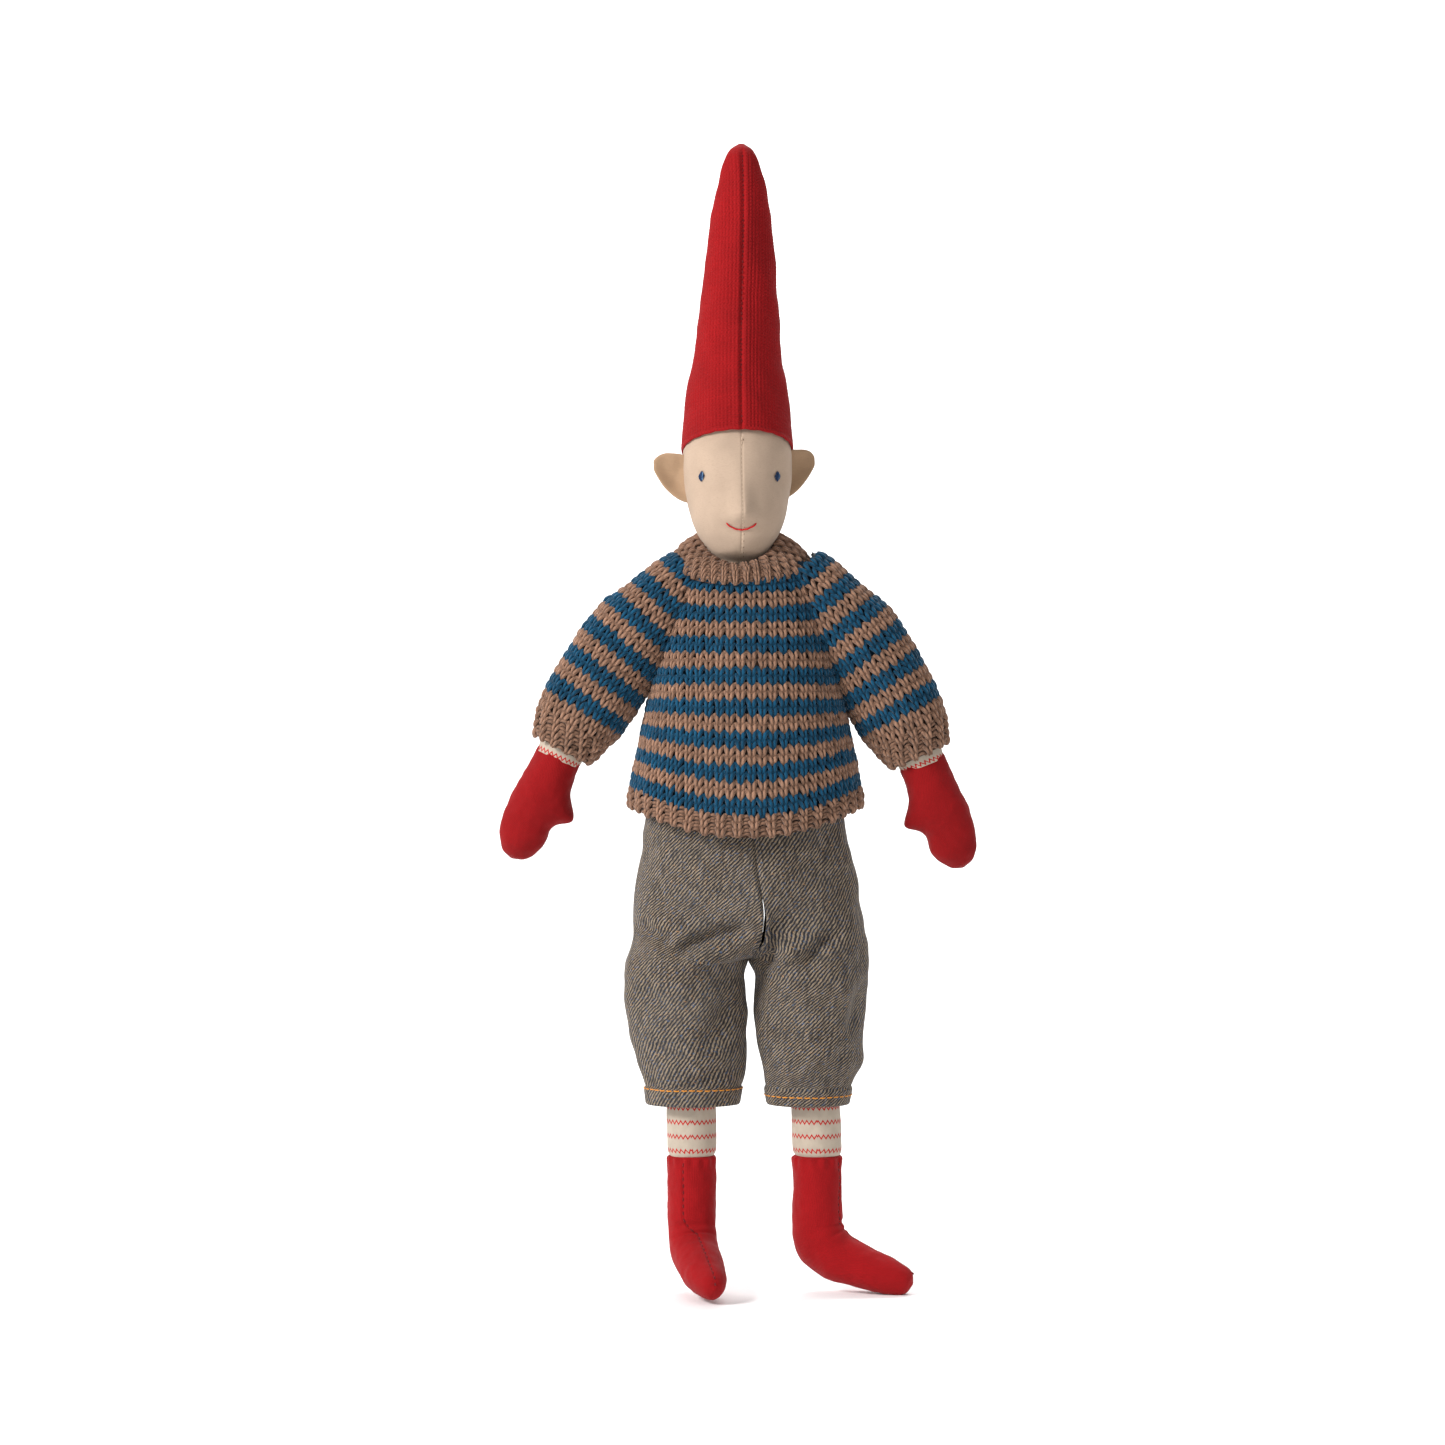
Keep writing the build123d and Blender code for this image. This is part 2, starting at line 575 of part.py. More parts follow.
for name, (side, closer, _, _, _, _) in SIDES.items():
    pivot = Vector(BODY_X + side * SHOULDER_X, 0, SHOULDER_Z)
    stem_way = stem_sweep(pivot, side, STEM_R + GAP)

    with BuildPart() as shoulder_stitch:
        with Locations(pivot):
            Sphere(TUFT_R)
            Cylinder(STEM_R, BAR_LENGTH, rotation=(90, 0, 0))
        ends = sorted((pivot.X, pivot.X - side * STEM_LENGTH))
        add(rod_along_x(ends[0], ends[1], SHOULDER_Z, STEM_R))
    keep(shoulder_stitch, f"shoulder_stitch_{name}")

    wrist = limb_plane(pivot, side, *SLEEVE_RINGS[-1][:3], closer)
    cuff_top = limb_plane(pivot, side, *SLEEVE_RINGS[-2][:3], closer)
    below_cuff = limb_plane(pivot, side, 46.5, -65.8, 27.0, closer)

    with BuildPart() as arm_outside:
        with Locations(pivot):
            Sphere(ARM_TOP_R)
        loft(sections=arm_loft(ARM_RINGS, pivot, side, closer, 0))
    with BuildPart() as arm_inside:
        with Locations(pivot):
            Sphere(ARM_TOP_R - CASING)
        loft(sections=arm_loft(ARM_RINGS, pivot, side, closer, CASING))

    with BuildPart() as sleeve_outside:
        loft(sections=arm_loft(SLEEVE_RINGS, pivot, side, closer, 0))
        add(raglan_room(side, 0, 0), mode=Mode.INTERSECT)
    with BuildPart() as sleeve_lower:
        loft(sections=arm_loft(SLEEVE_RINGS, pivot, side, closer, 0))
        split(bisect_by=Plane.XY.offset(RAGLAN_FOOT[1] - 5), keep=Keep.BOTTOM)
    with BuildPart() as whole_sleeve:
        add(sleeve_outside.part)
        add(sleeve_lower.part)
        with Locations(pivot):
            Sphere(SLEEVE_TOP_R)
            Sphere(SLEEVE_TOP_R - YARN, mode=Mode.SUBTRACT)
        loft(
            sections=arm_loft(SLEEVE_RINGS, pivot, side, closer, YARN)
            + [oval(below_cuff, 11.4 - YARN + 1, 10.6 - YARN + 1)],
            mode=Mode.SUBTRACT,
        )
        add(arm_outside.part, mode=Mode.SUBTRACT)
        add(stem_way, mode=Mode.SUBTRACT)
    for part_name, kept in (("sleeve", Keep.BOTTOM), ("cuff", Keep.TOP)):
        with BuildPart() as knitted:
            add(whole_sleeve.part)
            split(bisect_by=cuff_top, keep=kept)
        keep(knitted, f"{part_name}_{name}")

    mitten_wrist = limb_plane(pivot, side, *ARM_RINGS[-1][:3], closer)

    def mitten_sections(inset):
        rings = MITTEN_RINGS if inset == 0 else MITTEN_RINGS[:-1]
        return [
            oval(mitten_wrist.offset(along), wide - inset, deep - inset)
            for along, wide, deep in rings
        ]

    thumb_along, thumb_reach, thumb_r = THUMB
    thumb_middle = mitten_wrist.from_local_coords(Vector(-side * thumb_reach, 0, thumb_along))
    mitten_forms = []
    for inset in (0.0, CASING):
        with BuildPart() as mitten_form:
            loft(sections=mitten_sections(inset))
            with Locations(thumb_middle):
                Sphere(thumb_r - inset)
        mitten_forms.append(mitten_form.part)

    with BuildPart() as mitten:
        add(mitten_forms[0])
        add(mitten_forms[1], mode=Mode.SUBTRACT)
    for part_name, kept in (("front", Keep.TOP), ("back", Keep.BOTTOM)):
        mitten_panel = half(mitten, Plane.XZ, kept)
        keep(mitten_panel, f"mitten_{name}_{part_name}")

    with BuildPart() as arm_stuffing:
        add(arm_inside.part)
        add(mitten_forms[1])
        with Locations(pivot):
            Sphere(TUFT_R + PIN_GAP, mode=Mode.SUBTRACT)
            Cylinder(STEM_R + PIN_GAP, BAR_LENGTH + 1, rotation=(90, 0, 0), mode=Mode.SUBTRACT)
        add(stem_way, mode=Mode.SUBTRACT)
    keep(arm_stuffing, f"arm_{name}_stuffing")

    with BuildPart() as arm_casing:
        add(arm_outside.part)
        add(arm_inside.part, mode=Mode.SUBTRACT)
        add(mitten_forms[0], mode=Mode.SUBTRACT)
        add(stem_way, mode=Mode.SUBTRACT)
    keep(arm_casing, f"arm_{name}")

# ---- legs ---------------------------------------------------------------------------------------
def round_top(sections, radius):
    """A limb lofted downwards from the hip, with a top that is round about the hip thread."""
    with BuildPart() as limb:
        loft(sections=sections)
        extrude(sections[0], amount=radius + 5)
        with BuildSketch(Plane.YZ.offset(-80)):
            with Locations((0, HIP_Z)):
                Circle(radius)
            with Locations((0, HIP_Z - 100)):
                Rectangle(2 * radius, 200)
        extrude(amount=160, mode=Mode.INTERSECT)
    return limb.part


hip_hole = rod_along_x(HIP_THREAD[0] - 0.5, HIP_THREAD[1] + 0.5, HIP_Z, HIP_THREAD_R + PIN_GAP)

for name, (side, _, hip_x, ankle_x, yaw, point_down) in SIDES.items():
    rings = BREECHES_RINGS[name]
    forward = Vector(sin(radians(yaw)), -cos(radians(yaw)), 0)
    across = Vector(cos(radians(yaw)), sin(radians(yaw)), 0)

    def breeches_sections(inset, past_hem):
        return [
            oval(Plane((middle, 0, z)), wide - inset, deep - inset)
            for z, middle, wide, deep in rings[:-1]
            + [(rings[-1][0] - past_hem, *rings[-1][1:])]
        ]

    def leg_sections(inset):
        return [
            oval(
                Plane((ankle_x + (hip_x - ankle_x) * (z - BOOT_TOP_Z) / (HIP_Z - BOOT_TOP_Z), 0, z)),
                wide - inset,
                deep - inset,
            )
            for z, wide, deep in LEG_RINGS
        ]

    def boot_sections(inset):
        planes = []
        for reach, height, pitch, wide, tall in BOOT_RINGS[:-1] if inset else BOOT_RINGS:
            lean = radians(pitch)
            middle = (
                Vector(ankle_x, 0, BOOT_TOP_Z + height - max(reach, 0) * sin(radians(point_down)))
                + forward * reach
            )
            heading = forward * sin(lean) - Vector(0, 0, cos(lean))
            planes.append(
                oval(Plane(middle, x_dir=across, z_dir=heading), wide - inset, tall - inset)
            )
        return planes

    leg_outside = round_top(leg_sections(0.0), LEG_RINGS[0][2])
    leg_inside = round_top(leg_sections(CASING), LEG_RINGS[0][2] - CASING)
    breeches_outside = round_top(breeches_sections(0.0, 0.0), THIGH_R)
    breeches_hollow = round_top(breeches_sections(TWILL, 2.0), THIGH_R - TWILL)

    with BuildPart() as breeches_leg:
        add(breeches_outside)
        add(breeches_hollow, mode=Mode.SUBTRACT)
        add(leg_outside, mode=Mode.SUBTRACT)
        add(leg_inside, mode=Mode.SUBTRACT)
        add(hip_hole, mode=Mode.SUBTRACT)
    keep(breeches_leg, f"breeches_leg_{name}")

    with BuildPart() as breeches_hem:
        loft(sections=breeches_sections(TWILL, 2.0))
        loft(sections=breeches_sections(2 * TWILL, 4.0), mode=Mode.SUBTRACT)
        split(bisect_by=Plane.XY.offset(BREECHES_HEM_Z + HEM_DEPTH), keep=Keep.BOTTOM)
        split(bisect_by=Plane.XY.offset(BREECHES_HEM_Z), keep=Keep.TOP)
    keep(breeches_hem, f"breeches_hem_{name}")

    with BuildPart() as boot_outside:
        loft(sections=boot_sections(0.0))
    with BuildPart() as boot_inside:
        loft(sections=boot_sections(CASING))

    with BuildPart() as leg_casing:
        add(leg_outside)
        add(leg_inside, mode=Mode.SUBTRACT)
        add(boot_outside.part, mode=Mode.SUBTRACT)
        add(hip_hole, mode=Mode.SUBTRACT)
    keep(leg_casing, f"leg_{name}")

    with BuildPart() as leg_stuffing:
        add(leg_inside)
        add(boot_inside.part)
        add(hip_hole, mode=Mode.SUBTRACT)
    keep(leg_stuffing, f"leg_{name}_stuffing")

    with BuildPart() as boot:
        add(boot_outside.part)
        add(boot_inside.part, mode=Mode.SUBTRACT)
        add(leg_inside, mode=Mode.SUBTRACT)
    seam = Plane((ankle_x, 0, 0), x_dir=forward, z_dir=across)
    for part_name, kept in (("right", Keep.BOTTOM), ("left", Keep.TOP)):
        boot_panel = half(boot, seam, kept)
        keep(boot_panel, f"boot_{name}_{part_name}_half")
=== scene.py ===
"""The looks of a stuffed cloth tomte doll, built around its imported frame.

Every table of sections below is in millimetres, in the frame's own axes: +Z up, the doll faces -Y
and its own left hand is at +X. Meshes are made in metres, in place.
"""

import json

import bmesh
import bpy
import numpy as np
from bpy.props import FloatProperty, FloatVectorProperty, IntProperty, PointerProperty
from math import cos, pi, radians, sin
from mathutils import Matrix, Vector, noise


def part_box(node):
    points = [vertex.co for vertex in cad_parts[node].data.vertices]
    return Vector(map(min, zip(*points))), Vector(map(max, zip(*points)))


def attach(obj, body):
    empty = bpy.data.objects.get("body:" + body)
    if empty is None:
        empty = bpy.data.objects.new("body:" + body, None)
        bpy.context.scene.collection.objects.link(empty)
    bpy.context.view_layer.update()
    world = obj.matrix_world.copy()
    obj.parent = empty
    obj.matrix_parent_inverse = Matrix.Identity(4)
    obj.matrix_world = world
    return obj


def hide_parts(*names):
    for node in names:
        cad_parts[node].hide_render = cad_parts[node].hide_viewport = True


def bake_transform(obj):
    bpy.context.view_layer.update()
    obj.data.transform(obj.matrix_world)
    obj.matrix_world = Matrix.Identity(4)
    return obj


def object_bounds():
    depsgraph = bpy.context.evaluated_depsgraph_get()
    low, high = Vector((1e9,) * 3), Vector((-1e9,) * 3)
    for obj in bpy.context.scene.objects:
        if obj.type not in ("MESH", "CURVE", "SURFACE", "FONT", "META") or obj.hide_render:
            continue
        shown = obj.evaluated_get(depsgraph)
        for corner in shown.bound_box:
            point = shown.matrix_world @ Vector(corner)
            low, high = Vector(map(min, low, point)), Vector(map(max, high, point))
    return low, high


bl_info = {
    "name": "Cloth Tomte Doll",
    "version": (1, 0, 0),
    "blender": (4, 5, 0),
    "location": "View3D > Sidebar > Tomte",
    "description": "Builds a stuffed cloth tomte with hand-knitted clothes around its frame",
    "category": "Add Mesh",
}

MM = 0.001
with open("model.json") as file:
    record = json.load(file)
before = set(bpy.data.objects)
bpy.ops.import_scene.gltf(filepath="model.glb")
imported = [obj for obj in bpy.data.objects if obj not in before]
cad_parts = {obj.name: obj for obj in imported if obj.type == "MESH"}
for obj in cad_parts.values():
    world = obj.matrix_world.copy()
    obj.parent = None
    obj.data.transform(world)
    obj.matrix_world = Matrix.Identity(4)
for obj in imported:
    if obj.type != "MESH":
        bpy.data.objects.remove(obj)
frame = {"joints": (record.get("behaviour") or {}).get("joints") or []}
cad_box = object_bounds()
JOINTS = {joint["name"]: joint for joint in frame["joints"]}


def joint_place(name):
    """Where a joint turns, in millimetres."""
    return np.array(JOINTS[name]["pos_m"]) / MM


NECK = joint_place("neck_turn")
SHOULDERS = {side: joint_place(f"shoulder_raise_{side}") for side in ("right", "left")}
HIPS = {side: joint_place(f"hip_swing_{side}") for side in ("right", "left")}
SIGN = {"right": -1, "left": 1}
BODY_X = float(SHOULDERS["right"][0] + SHOULDERS["left"][0]) / 2


def shade(red, green, blue):
    """A display colour, 0 to 255, as the scene-linear colour that shaders take."""
    share = np.array([red, green, blue]) / 255
    return tuple(np.where(share > 0.04045, ((share + 0.055) / 1.055) ** 2.4, share / 12.92))


# ---- what a user would change -------------------------------------------------------------------
class TomteSizes(bpy.types.PropertyGroup):
    """Sizes of the doll's yarns, stitches and threads."""

    stitch_width: FloatProperty(
        name="Stitch Width", description="Width of one knitted stitch", default=4.5 * MM, unit="LENGTH"
    )
    yarn_radius: FloatProperty(
        name="Yarn Radius", description="Half the thickness of the yarn", default=0.94 * MM, unit="LENGTH"
    )
    body_rows: IntProperty(
        name="Body Rows", description="Rows of stocking stitch from hem band to neckband", default=30
    )
    sleeve_row: FloatProperty(
        name="Sleeve Row", description="Height of one row on the sleeves", default=3.4 * MM, unit="LENGTH"
    )
    hat_rib: FloatProperty(
        name="Hat Rib", description="Distance between the hat's fine ribs", default=1.6 * MM, unit="LENGTH"
    )
    sewing_thread: FloatProperty(
        name="Sewing Thread", description="Radius of the seam stitches", default=0.17 * MM, unit="LENGTH"
    )


def colour_property(name, description, rgb):
    return FloatVectorProperty(
        name=name, description=description, default=shade(*rgb), subtype="COLOR", size=3, min=0, max=1
    )


class TomteColours(bpy.types.PropertyGroup):
    """Colours of the doll's cloths, yarns and threads."""

    hat_red: colour_property("Hat Red", "Knitted hat", (148, 15, 19))
    mitten_red: colour_property("Mitten Red", "Mittens", (138, 12, 16))
    boot_red: colour_property("Boot Red", "Boots", (154, 15, 20))
    linen: colour_property("Linen", "Head and ears", (180, 157, 137))
    # The ears' linen is the head's linen painted darker and warmer: painted shade in their cups and painted light
    # shining through them.
    shaded_ear_linen: colour_property("Shaded Ear Linen", "Ears, which let warm light through", (168, 138, 110))
    jersey_cream: colour_property("Jersey Cream", "Legs and arms", (180, 166, 150))
    zigzag_red: colour_property("Zigzag Red", "Zigzag rows on the legs", (170, 24, 26))
    blue_yarn: colour_property("Blue Yarn", "Blue stripes", (10, 66, 94))
    brown_yarn: colour_property("Brown Yarn", "Brown stripes and bands", (140, 106, 86))
    twill_dark: colour_property("Twill Dark", "Dark threads of the breeches", (38, 36, 38))
    twill_light: colour_property("Twill Light", "Light threads of the breeches", (156, 138, 116))
    navy_thread: colour_property("Navy Thread", "Eyes", (22, 48, 84))
    orange_thread: colour_property("Orange Thread", "Topstitching", (226, 142, 40))


def sizes():
    return bpy.context.scene.tomte_sizes


def colours():
    return bpy.context.scene.tomte_colours


# ---- numbers ------------------------------------------------------------------------------------
def smooth(table, at):
    """Values of a table at other places along its first column, without overshooting."""
    table = np.asarray(table, float)
    if table[0, 0] > table[-1, 0]:
        table = table[::-1]
    x, y = table[:, 0], table[:, 1:]
    step = np.diff(x)[:, None]
    slope = np.diff(y, axis=0) / step
    turn = np.zeros_like(y)
    before, after = slope[:-1], slope[1:]
    both = before * after > 0
    w1 = 2 * step[1:] + step[:-1]
    w2 = step[1:] + 2 * step[:-1]
    safe_before, safe_after = np.where(both, before, 1), np.where(both, after, 1)
    turn[1:-1] = np.where(both, (w1 + w2) / (w1 / safe_before + w2 / safe_after), 0)
    turn[0], turn[-1] = slope[0], slope[-1]
    at = np.atleast_1d(np.asarray(at, float))
    i = np.clip(np.searchsorted(x, at) - 1, 0, len(x) - 2)
    h = (x[i + 1] - x[i])[:, None]
    t = ((at - x[i]) / (x[i + 1] - x[i]))[:, None]
    return (
        (1 + 2 * t) * (1 - t) ** 2 * y[i]
        + t * (1 - t) ** 2 * h * turn[i]
        + t**2 * (3 - 2 * t) * y[i + 1]
        + t**2 * (t - 1) * h * turn[i + 1]
    )


def ease(x, low, high):
    """Rises smoothly from 0 to 1 between two values; falls if low is the larger."""
    t = np.clip((np.asarray(x, float) - low) / (high - low), 0, 1)
    return t * t * (3 - 2 * t)


def unit(vectors):
    return vectors / np.maximum(np.linalg.norm(vectors, axis=-1, keepdims=True), 1e-9)


def bump(x, middle, width):
    """A rounded hill of height 1."""
    return np.exp(-(((np.asarray(x, float) - middle) / width) ** 2))


def wobble(points, size, seed):
    """Soft seeded noise, about -0.5 to 0.5, at each point in millimetres."""
    flat = points.reshape(-1, 3) / size
    shift = Vector((seed * 7.3, seed * 3.1, seed * 5.7))
    return np.array([noise.noise(Vector(p) + shift) for p in flat]).reshape(points.shape[:-1])


# ---- meshes -------------------------------------------------------------------------------------
def new_piece(name, vertices, faces, materials=(), face_materials=None):
    """A mesh object at the origin, from vertices in millimetres."""
    mesh = bpy.data.meshes.new(name)
    mesh.from_pydata((np.asarray(vertices) * MM).tolist(), [], faces)
    for material in materials:
        mesh.materials.append(material)
    if face_materials is not None:
        mesh.polygons.foreach_set("material_index", np.asarray(face_materials, np.int32))
    mesh.shade_smooth()
    mesh.update()
    piece = bpy.data.objects.new(name, mesh)
    bpy.context.scene.collection.objects.link(piece)
    return piece


def face_outwards(piece):
    """Turns a closed shape's faces to point out of it."""
    shape = bmesh.new()
    shape.from_mesh(piece.data)
    bmesh.ops.recalc_face_normals(shape, faces=shape.faces)
    shape.to_mesh(piece.data)
    shape.free()


def tube_faces(rows, columns, round_closed):
    """Quads over a grid of points, as rows of vertex numbers."""
    index = np.arange(rows * columns).reshape(rows, columns)
    if round_closed:
        index = np.concatenate([index, index[:, :1]], axis=1)
    quads = np.stack([index[:-1, :-1], index[:-1, 1:], index[1:, 1:], index[1:, :-1]], axis=-1)
    return quads.reshape(-1, 4)


def lengths_around(points, round_closed, start=0):
    """Distances round each ring from one of its columns; a closed ring gets one more at its end."""
    ring = np.concatenate([points, points[:, :1]], axis=1) if round_closed else points
    steps = np.linalg.norm(np.diff(ring, axis=1), axis=-1)
    along = np.concatenate([np.zeros((len(points), 1)), np.cumsum(steps, axis=1)], axis=1)
    return along - along[:, start : start + 1]


UV_MM = 100.0  # one unit of a piece's UV map, in millimetres of cloth


def grid_piece(name, points, material, round_closed=True, caps=(False, False), start=0, keep=None):
    """A sheet or tube over rows of points, with its UV map measured along the cloth."""
    rows, columns = points.shape[:2]
    faces = tube_faces(rows, columns, round_closed)
    u = lengths_around(points, round_closed, start)
    steps = np.linalg.norm(np.diff(points[:, start], axis=0), axis=-1)
    v = np.concatenate([[0], np.cumsum(steps)])[:, None] + 0 * u
    grid = np.stack([u, v], axis=-1) / UV_MM
    corner = np.stack([grid[:-1, :-1], grid[:-1, 1:], grid[1:, 1:], grid[1:, :-1]], axis=2)
    corner = corner.reshape(-1, 4, 2)
    if keep is not None:
        faces, corner = faces[keep], corner[keep]
    vertices = points.reshape(-1, 3)
    faces, corners = faces.tolist(), [corner.reshape(-1, 2)]
    for end, row in zip(caps, (0, rows - 1)):
        if not end:
            continue
        middle = len(vertices)
        vertices = np.concatenate([vertices, points[row].mean(axis=0)[None]])
        for i in range(columns):
            a, b = row * columns + i, row * columns + (i + 1) % columns
            faces.append([b, a, middle] if row == 0 else [a, b, middle])
            shared = grid[row, i : i + 2]
            pair = shared[::-1] if row == 0 else shared
            corners.append(np.concatenate([pair, shared.mean(axis=0)[None]]))
    piece = new_piece(name, vertices, faces, [material])
    uv = piece.data.uv_layers.new(name="UVMap")
    uv.data.foreach_set("uv", np.concatenate(corners).astype(np.float32).ravel())
    drop_loose(piece)
    return piece


def drop_loose(piece):
    """Deletes points that no face uses."""
    shape = bmesh.new()
    shape.from_mesh(piece.data)
    loose = [v for v in shape.verts if not v.link_faces]
    bmesh.ops.delete(shape, geom=loose, context="VERTS")
    shape.to_mesh(piece.data)
    shape.free()


def thicken(piece, thickness):
    """Gives a single layer of cloth its thickness, inwards."""
    wall = piece.modifiers.new("Thickness", "SOLIDIFY")
    wall.thickness = thickness * MM
    wall.offset = -1
    make_plain(piece)
    return piece


def make_plain(piece):
    """Turns what a piece's modifiers make into its own plain mesh, and removes them."""
    bpy.context.view_layer.update()
    evaluated = piece.evaluated_get(bpy.context.evaluated_depsgraph_get())
    mesh = bpy.data.meshes.new_from_object(evaluated)
    piece.modifiers.clear()
    old = piece.data
    piece.data = mesh
    mesh.name = piece.name
    bpy.data.meshes.remove(old)
    return piece


def join(name, pieces):
    """Joins finished pieces into one."""
    with bpy.context.temp_override(
        active_object=pieces[0], selected_editable_objects=pieces, object=pieces[0]
    ):
        bpy.ops.object.join()
    pieces[0].name = name
    return pieces[0]


# ---- node trees ---------------------------------------------------------------------------------
def node(tree, kind, inputs=None, **settings):
    """Adds a node; an input is a value or another node's output."""
    made = tree.nodes.new(kind)
    for name, value in settings.items():
        setattr(made, name, value)
    for key, value in (inputs or {}).items():
        if isinstance(value, bpy.types.NodeSocket):
            tree.links.new(value, made.inputs[key])
        else:
            made.inputs[key].default_value = value
    return made


def maths(tree, operation, *values):
    kind = "ShaderNodeMath"
    return node(tree, kind, dict(enumerate(values)), operation=operation).outputs[0]


def mixed(tree, share, first, second, blend="MIX"):
    """A mix of two colours."""
    made = node(tree, "ShaderNodeMix", {"Factor": share}, data_type="RGBA", blend_type=blend)
    for socket, value in ((made.inputs[6], first), (made.inputs[7], second)):
        if isinstance(value, bpy.types.NodeSocket):
            tree.links.new(value, socket)
        else:
            socket.default_value = (*value[:3], 1)
    return made.outputs[2]


def ranged(tree, value, low, high, to_low=0.0, to_high=1.0):
    inputs = {"Value": value, "From Min": low, "From Max": high, "To Min": to_low, "To Max": to_high}
    return node(tree, "ShaderNodeMapRange", inputs, interpolation_type="SMOOTHSTEP").outputs[0]


def cloth(name, roughness=0.9, sheen=0.25):
    """A new material with a woolly sheen, and its tree and shader."""
    material = bpy.data.materials.new(name)
    material.use_nodes = True
    tree = material.node_tree
    shader = tree.nodes["Principled BSDF"]
    shader.inputs["Roughness"].default_value = roughness
    shader.inputs["Specular IOR Level"].default_value = 0.15
    shader.inputs["Sheen Weight"].default_value = sheen
    shader.inputs["Sheen Roughness"].default_value = 0.45
    return material, tree, shader


def cloth_mm(tree):
    """The cloth's own directions, in millimetres across and along it."""
    uv = node(tree, "ShaderNodeUVMap", uv_map="UVMap").outputs[0]
    split = node(tree, "ShaderNodeSeparateXYZ", {0: uv})
    return [maths(tree, "MULTIPLY", split.outputs[i], UV_MM) for i in (0, 1)]


def place_mm(tree):
    """The piece's own place, in millimetres."""
    place = node(tree, "ShaderNodeTexCoord").outputs["Object"]
    return node(tree, "ShaderNodeVectorMath", {0: place, "Scale": 1 / MM}, operation="SCALE").outputs[0]


def speckle(tree, place, scale, detail=2.0, stretch=None):
    """Noise over the piece, scale times to the millimetre."""
    if stretch:
        place = node(tree, "ShaderNodeVectorMath", {0: place, 1: stretch}, operation="MULTIPLY").outputs[0]
    made = node(tree, "ShaderNodeTexNoise", {"Vector": place, "Scale": scale, "Detail": detail})
    return made.outputs["Fac"]


def wave(tree, value, pitch, phase=0.0):
    """A wave from 0 to 1 that repeats at each pitch."""
    turn = maths(tree, "MULTIPLY_ADD", value, 2 * pi / pitch, phase)
    return maths(tree, "MULTIPLY_ADD", maths(tree, "SINE", turn), 0.5, 0.5)


def pushed(tree, height, strength, distance):
    """A bump of that height in millimetres."""
    inputs = {"Height": height, "Strength": strength, "Distance": distance * MM}
    return node(tree, "ShaderNodeBump", inputs).outputs[0]


def darker(rgb, share):
    return tuple(c * share for c in rgb[:3])


def linen_cloth(name, light):
    """Plain-woven linen with a few thick threads."""
    material, tree, shader = cloth(name, 0.92, 0.1)
    u, v = cloth_mm(tree)
    place = place_mm(tree)
    across = wave(tree, u, 0.42)
    along = wave(tree, v, 0.42)
    slubs = speckle(tree, place, 0.9, 3.0, (1.0, 1.0, 4.0))
    weave = maths(tree, "ADD", across, along)
    weave = maths(tree, "MULTIPLY_ADD", slubs, 1.4, weave)
    patches = speckle(tree, place, 0.055, 3.0)
    tone = mixed(tree, ranged(tree, patches, 0.3, 0.75), light, darker(light, 0.86))
    tone = mixed(tree, ranged(tree, slubs, 0.45, 0.75, 0.0, 0.5), tone, darker(light, 0.78))
    tree.links.new(tone, shader.inputs["Base Color"])
    tree.links.new(pushed(tree, weave, 0.35, 0.05), shader.inputs["Normal"])
    return material


def jersey_cloth(name, base, pitch, sheen=0.3):
    """Fine jersey: rows of tiny stitches, with painted shade between them, and a bloom of fibres."""
    material, tree, shader = cloth(name, 0.88, sheen)
    u, v = cloth_mm(tree)
    place = place_mm(tree)
    slant = maths(tree, "ABSOLUTE", maths(tree, "SINE", maths(tree, "MULTIPLY", u, pi / pitch)))
    rows = wave(tree, maths(tree, "MULTIPLY_ADD", slant, 0.5 * pitch, v), pitch * 0.75)
    wales = maths(tree, "MULTIPLY", slant, 1.0)
    knit = maths(tree, "MULTIPLY_ADD", rows, 0.7, wales)
    fibres = speckle(tree, place, 1.6, 4.0)
    patches = speckle(tree, place, 0.05, 3.0)
    tone = mixed(tree, ranged(tree, patches, 0.3, 0.75), base, darker(base, 0.82))
    # painted shade: the cloth goes darker in the low places between the stitches
    tone = mixed(tree, ranged(tree, knit, 0.0, 1.3, 0.55, 0.0), tone, darker(base, 0.4))
    tone = mixed(tree, ranged(tree, fibres, 0.45, 0.8, 0.0, 0.3), tone, darker(base, 1.45))
    tree.links.new(tone, shader.inputs["Base Color"])
    height = maths(tree, "MULTIPLY_ADD", fibres, 0.8, knit)
    tree.links.new(pushed(tree, height, 0.5, 0.1), shader.inputs["Normal"])
    return material


ZIGZAG_RISE = 1.4  # how far the zigzag rows stand above the foot of the cloth, in millimetres


def zigzag_jersey():
    """Cream jersey with narrow rows of red zigzag."""
    material, tree, shader = cloth("Zigzag Jersey", 0.9, 0.15)
    u, v = cloth_mm(tree)
    place = place_mm(tree)
    cream, red = colours().jersey_cream, colours().zigzag_red
    saw = maths(tree, "MULTIPLY_ADD", maths(tree, "PINGPONG", u, 1.05), 1.5, -0.8)
    row = maths(tree, "WRAP", maths(tree, "SUBTRACT", v, ZIGZAG_RISE), 3.04, -3.04)
    off_line = maths(tree, "ABSOLUTE", maths(tree, "SUBTRACT", row, saw))
    line = ranged(tree, off_line, 0.3, 0.62, 1.0, 0.0)
    patches = speckle(tree, place, 0.3, 3.0)
    ground = mixed(tree, ranged(tree, patches, 0.3, 0.7), cream, darker(cream, 0.9))
    tone = mixed(tree, line, ground, red)
    tree.links.new(tone, shader.inputs["Base Color"])
    knit = maths(tree, "MULTIPLY_ADD", wave(tree, u, 0.62), 0.6, wave(tree, v, 0.5))
    tree.links.new(pushed(tree, knit, 0.35, 0.08), shader.inputs["Normal"])
    return material


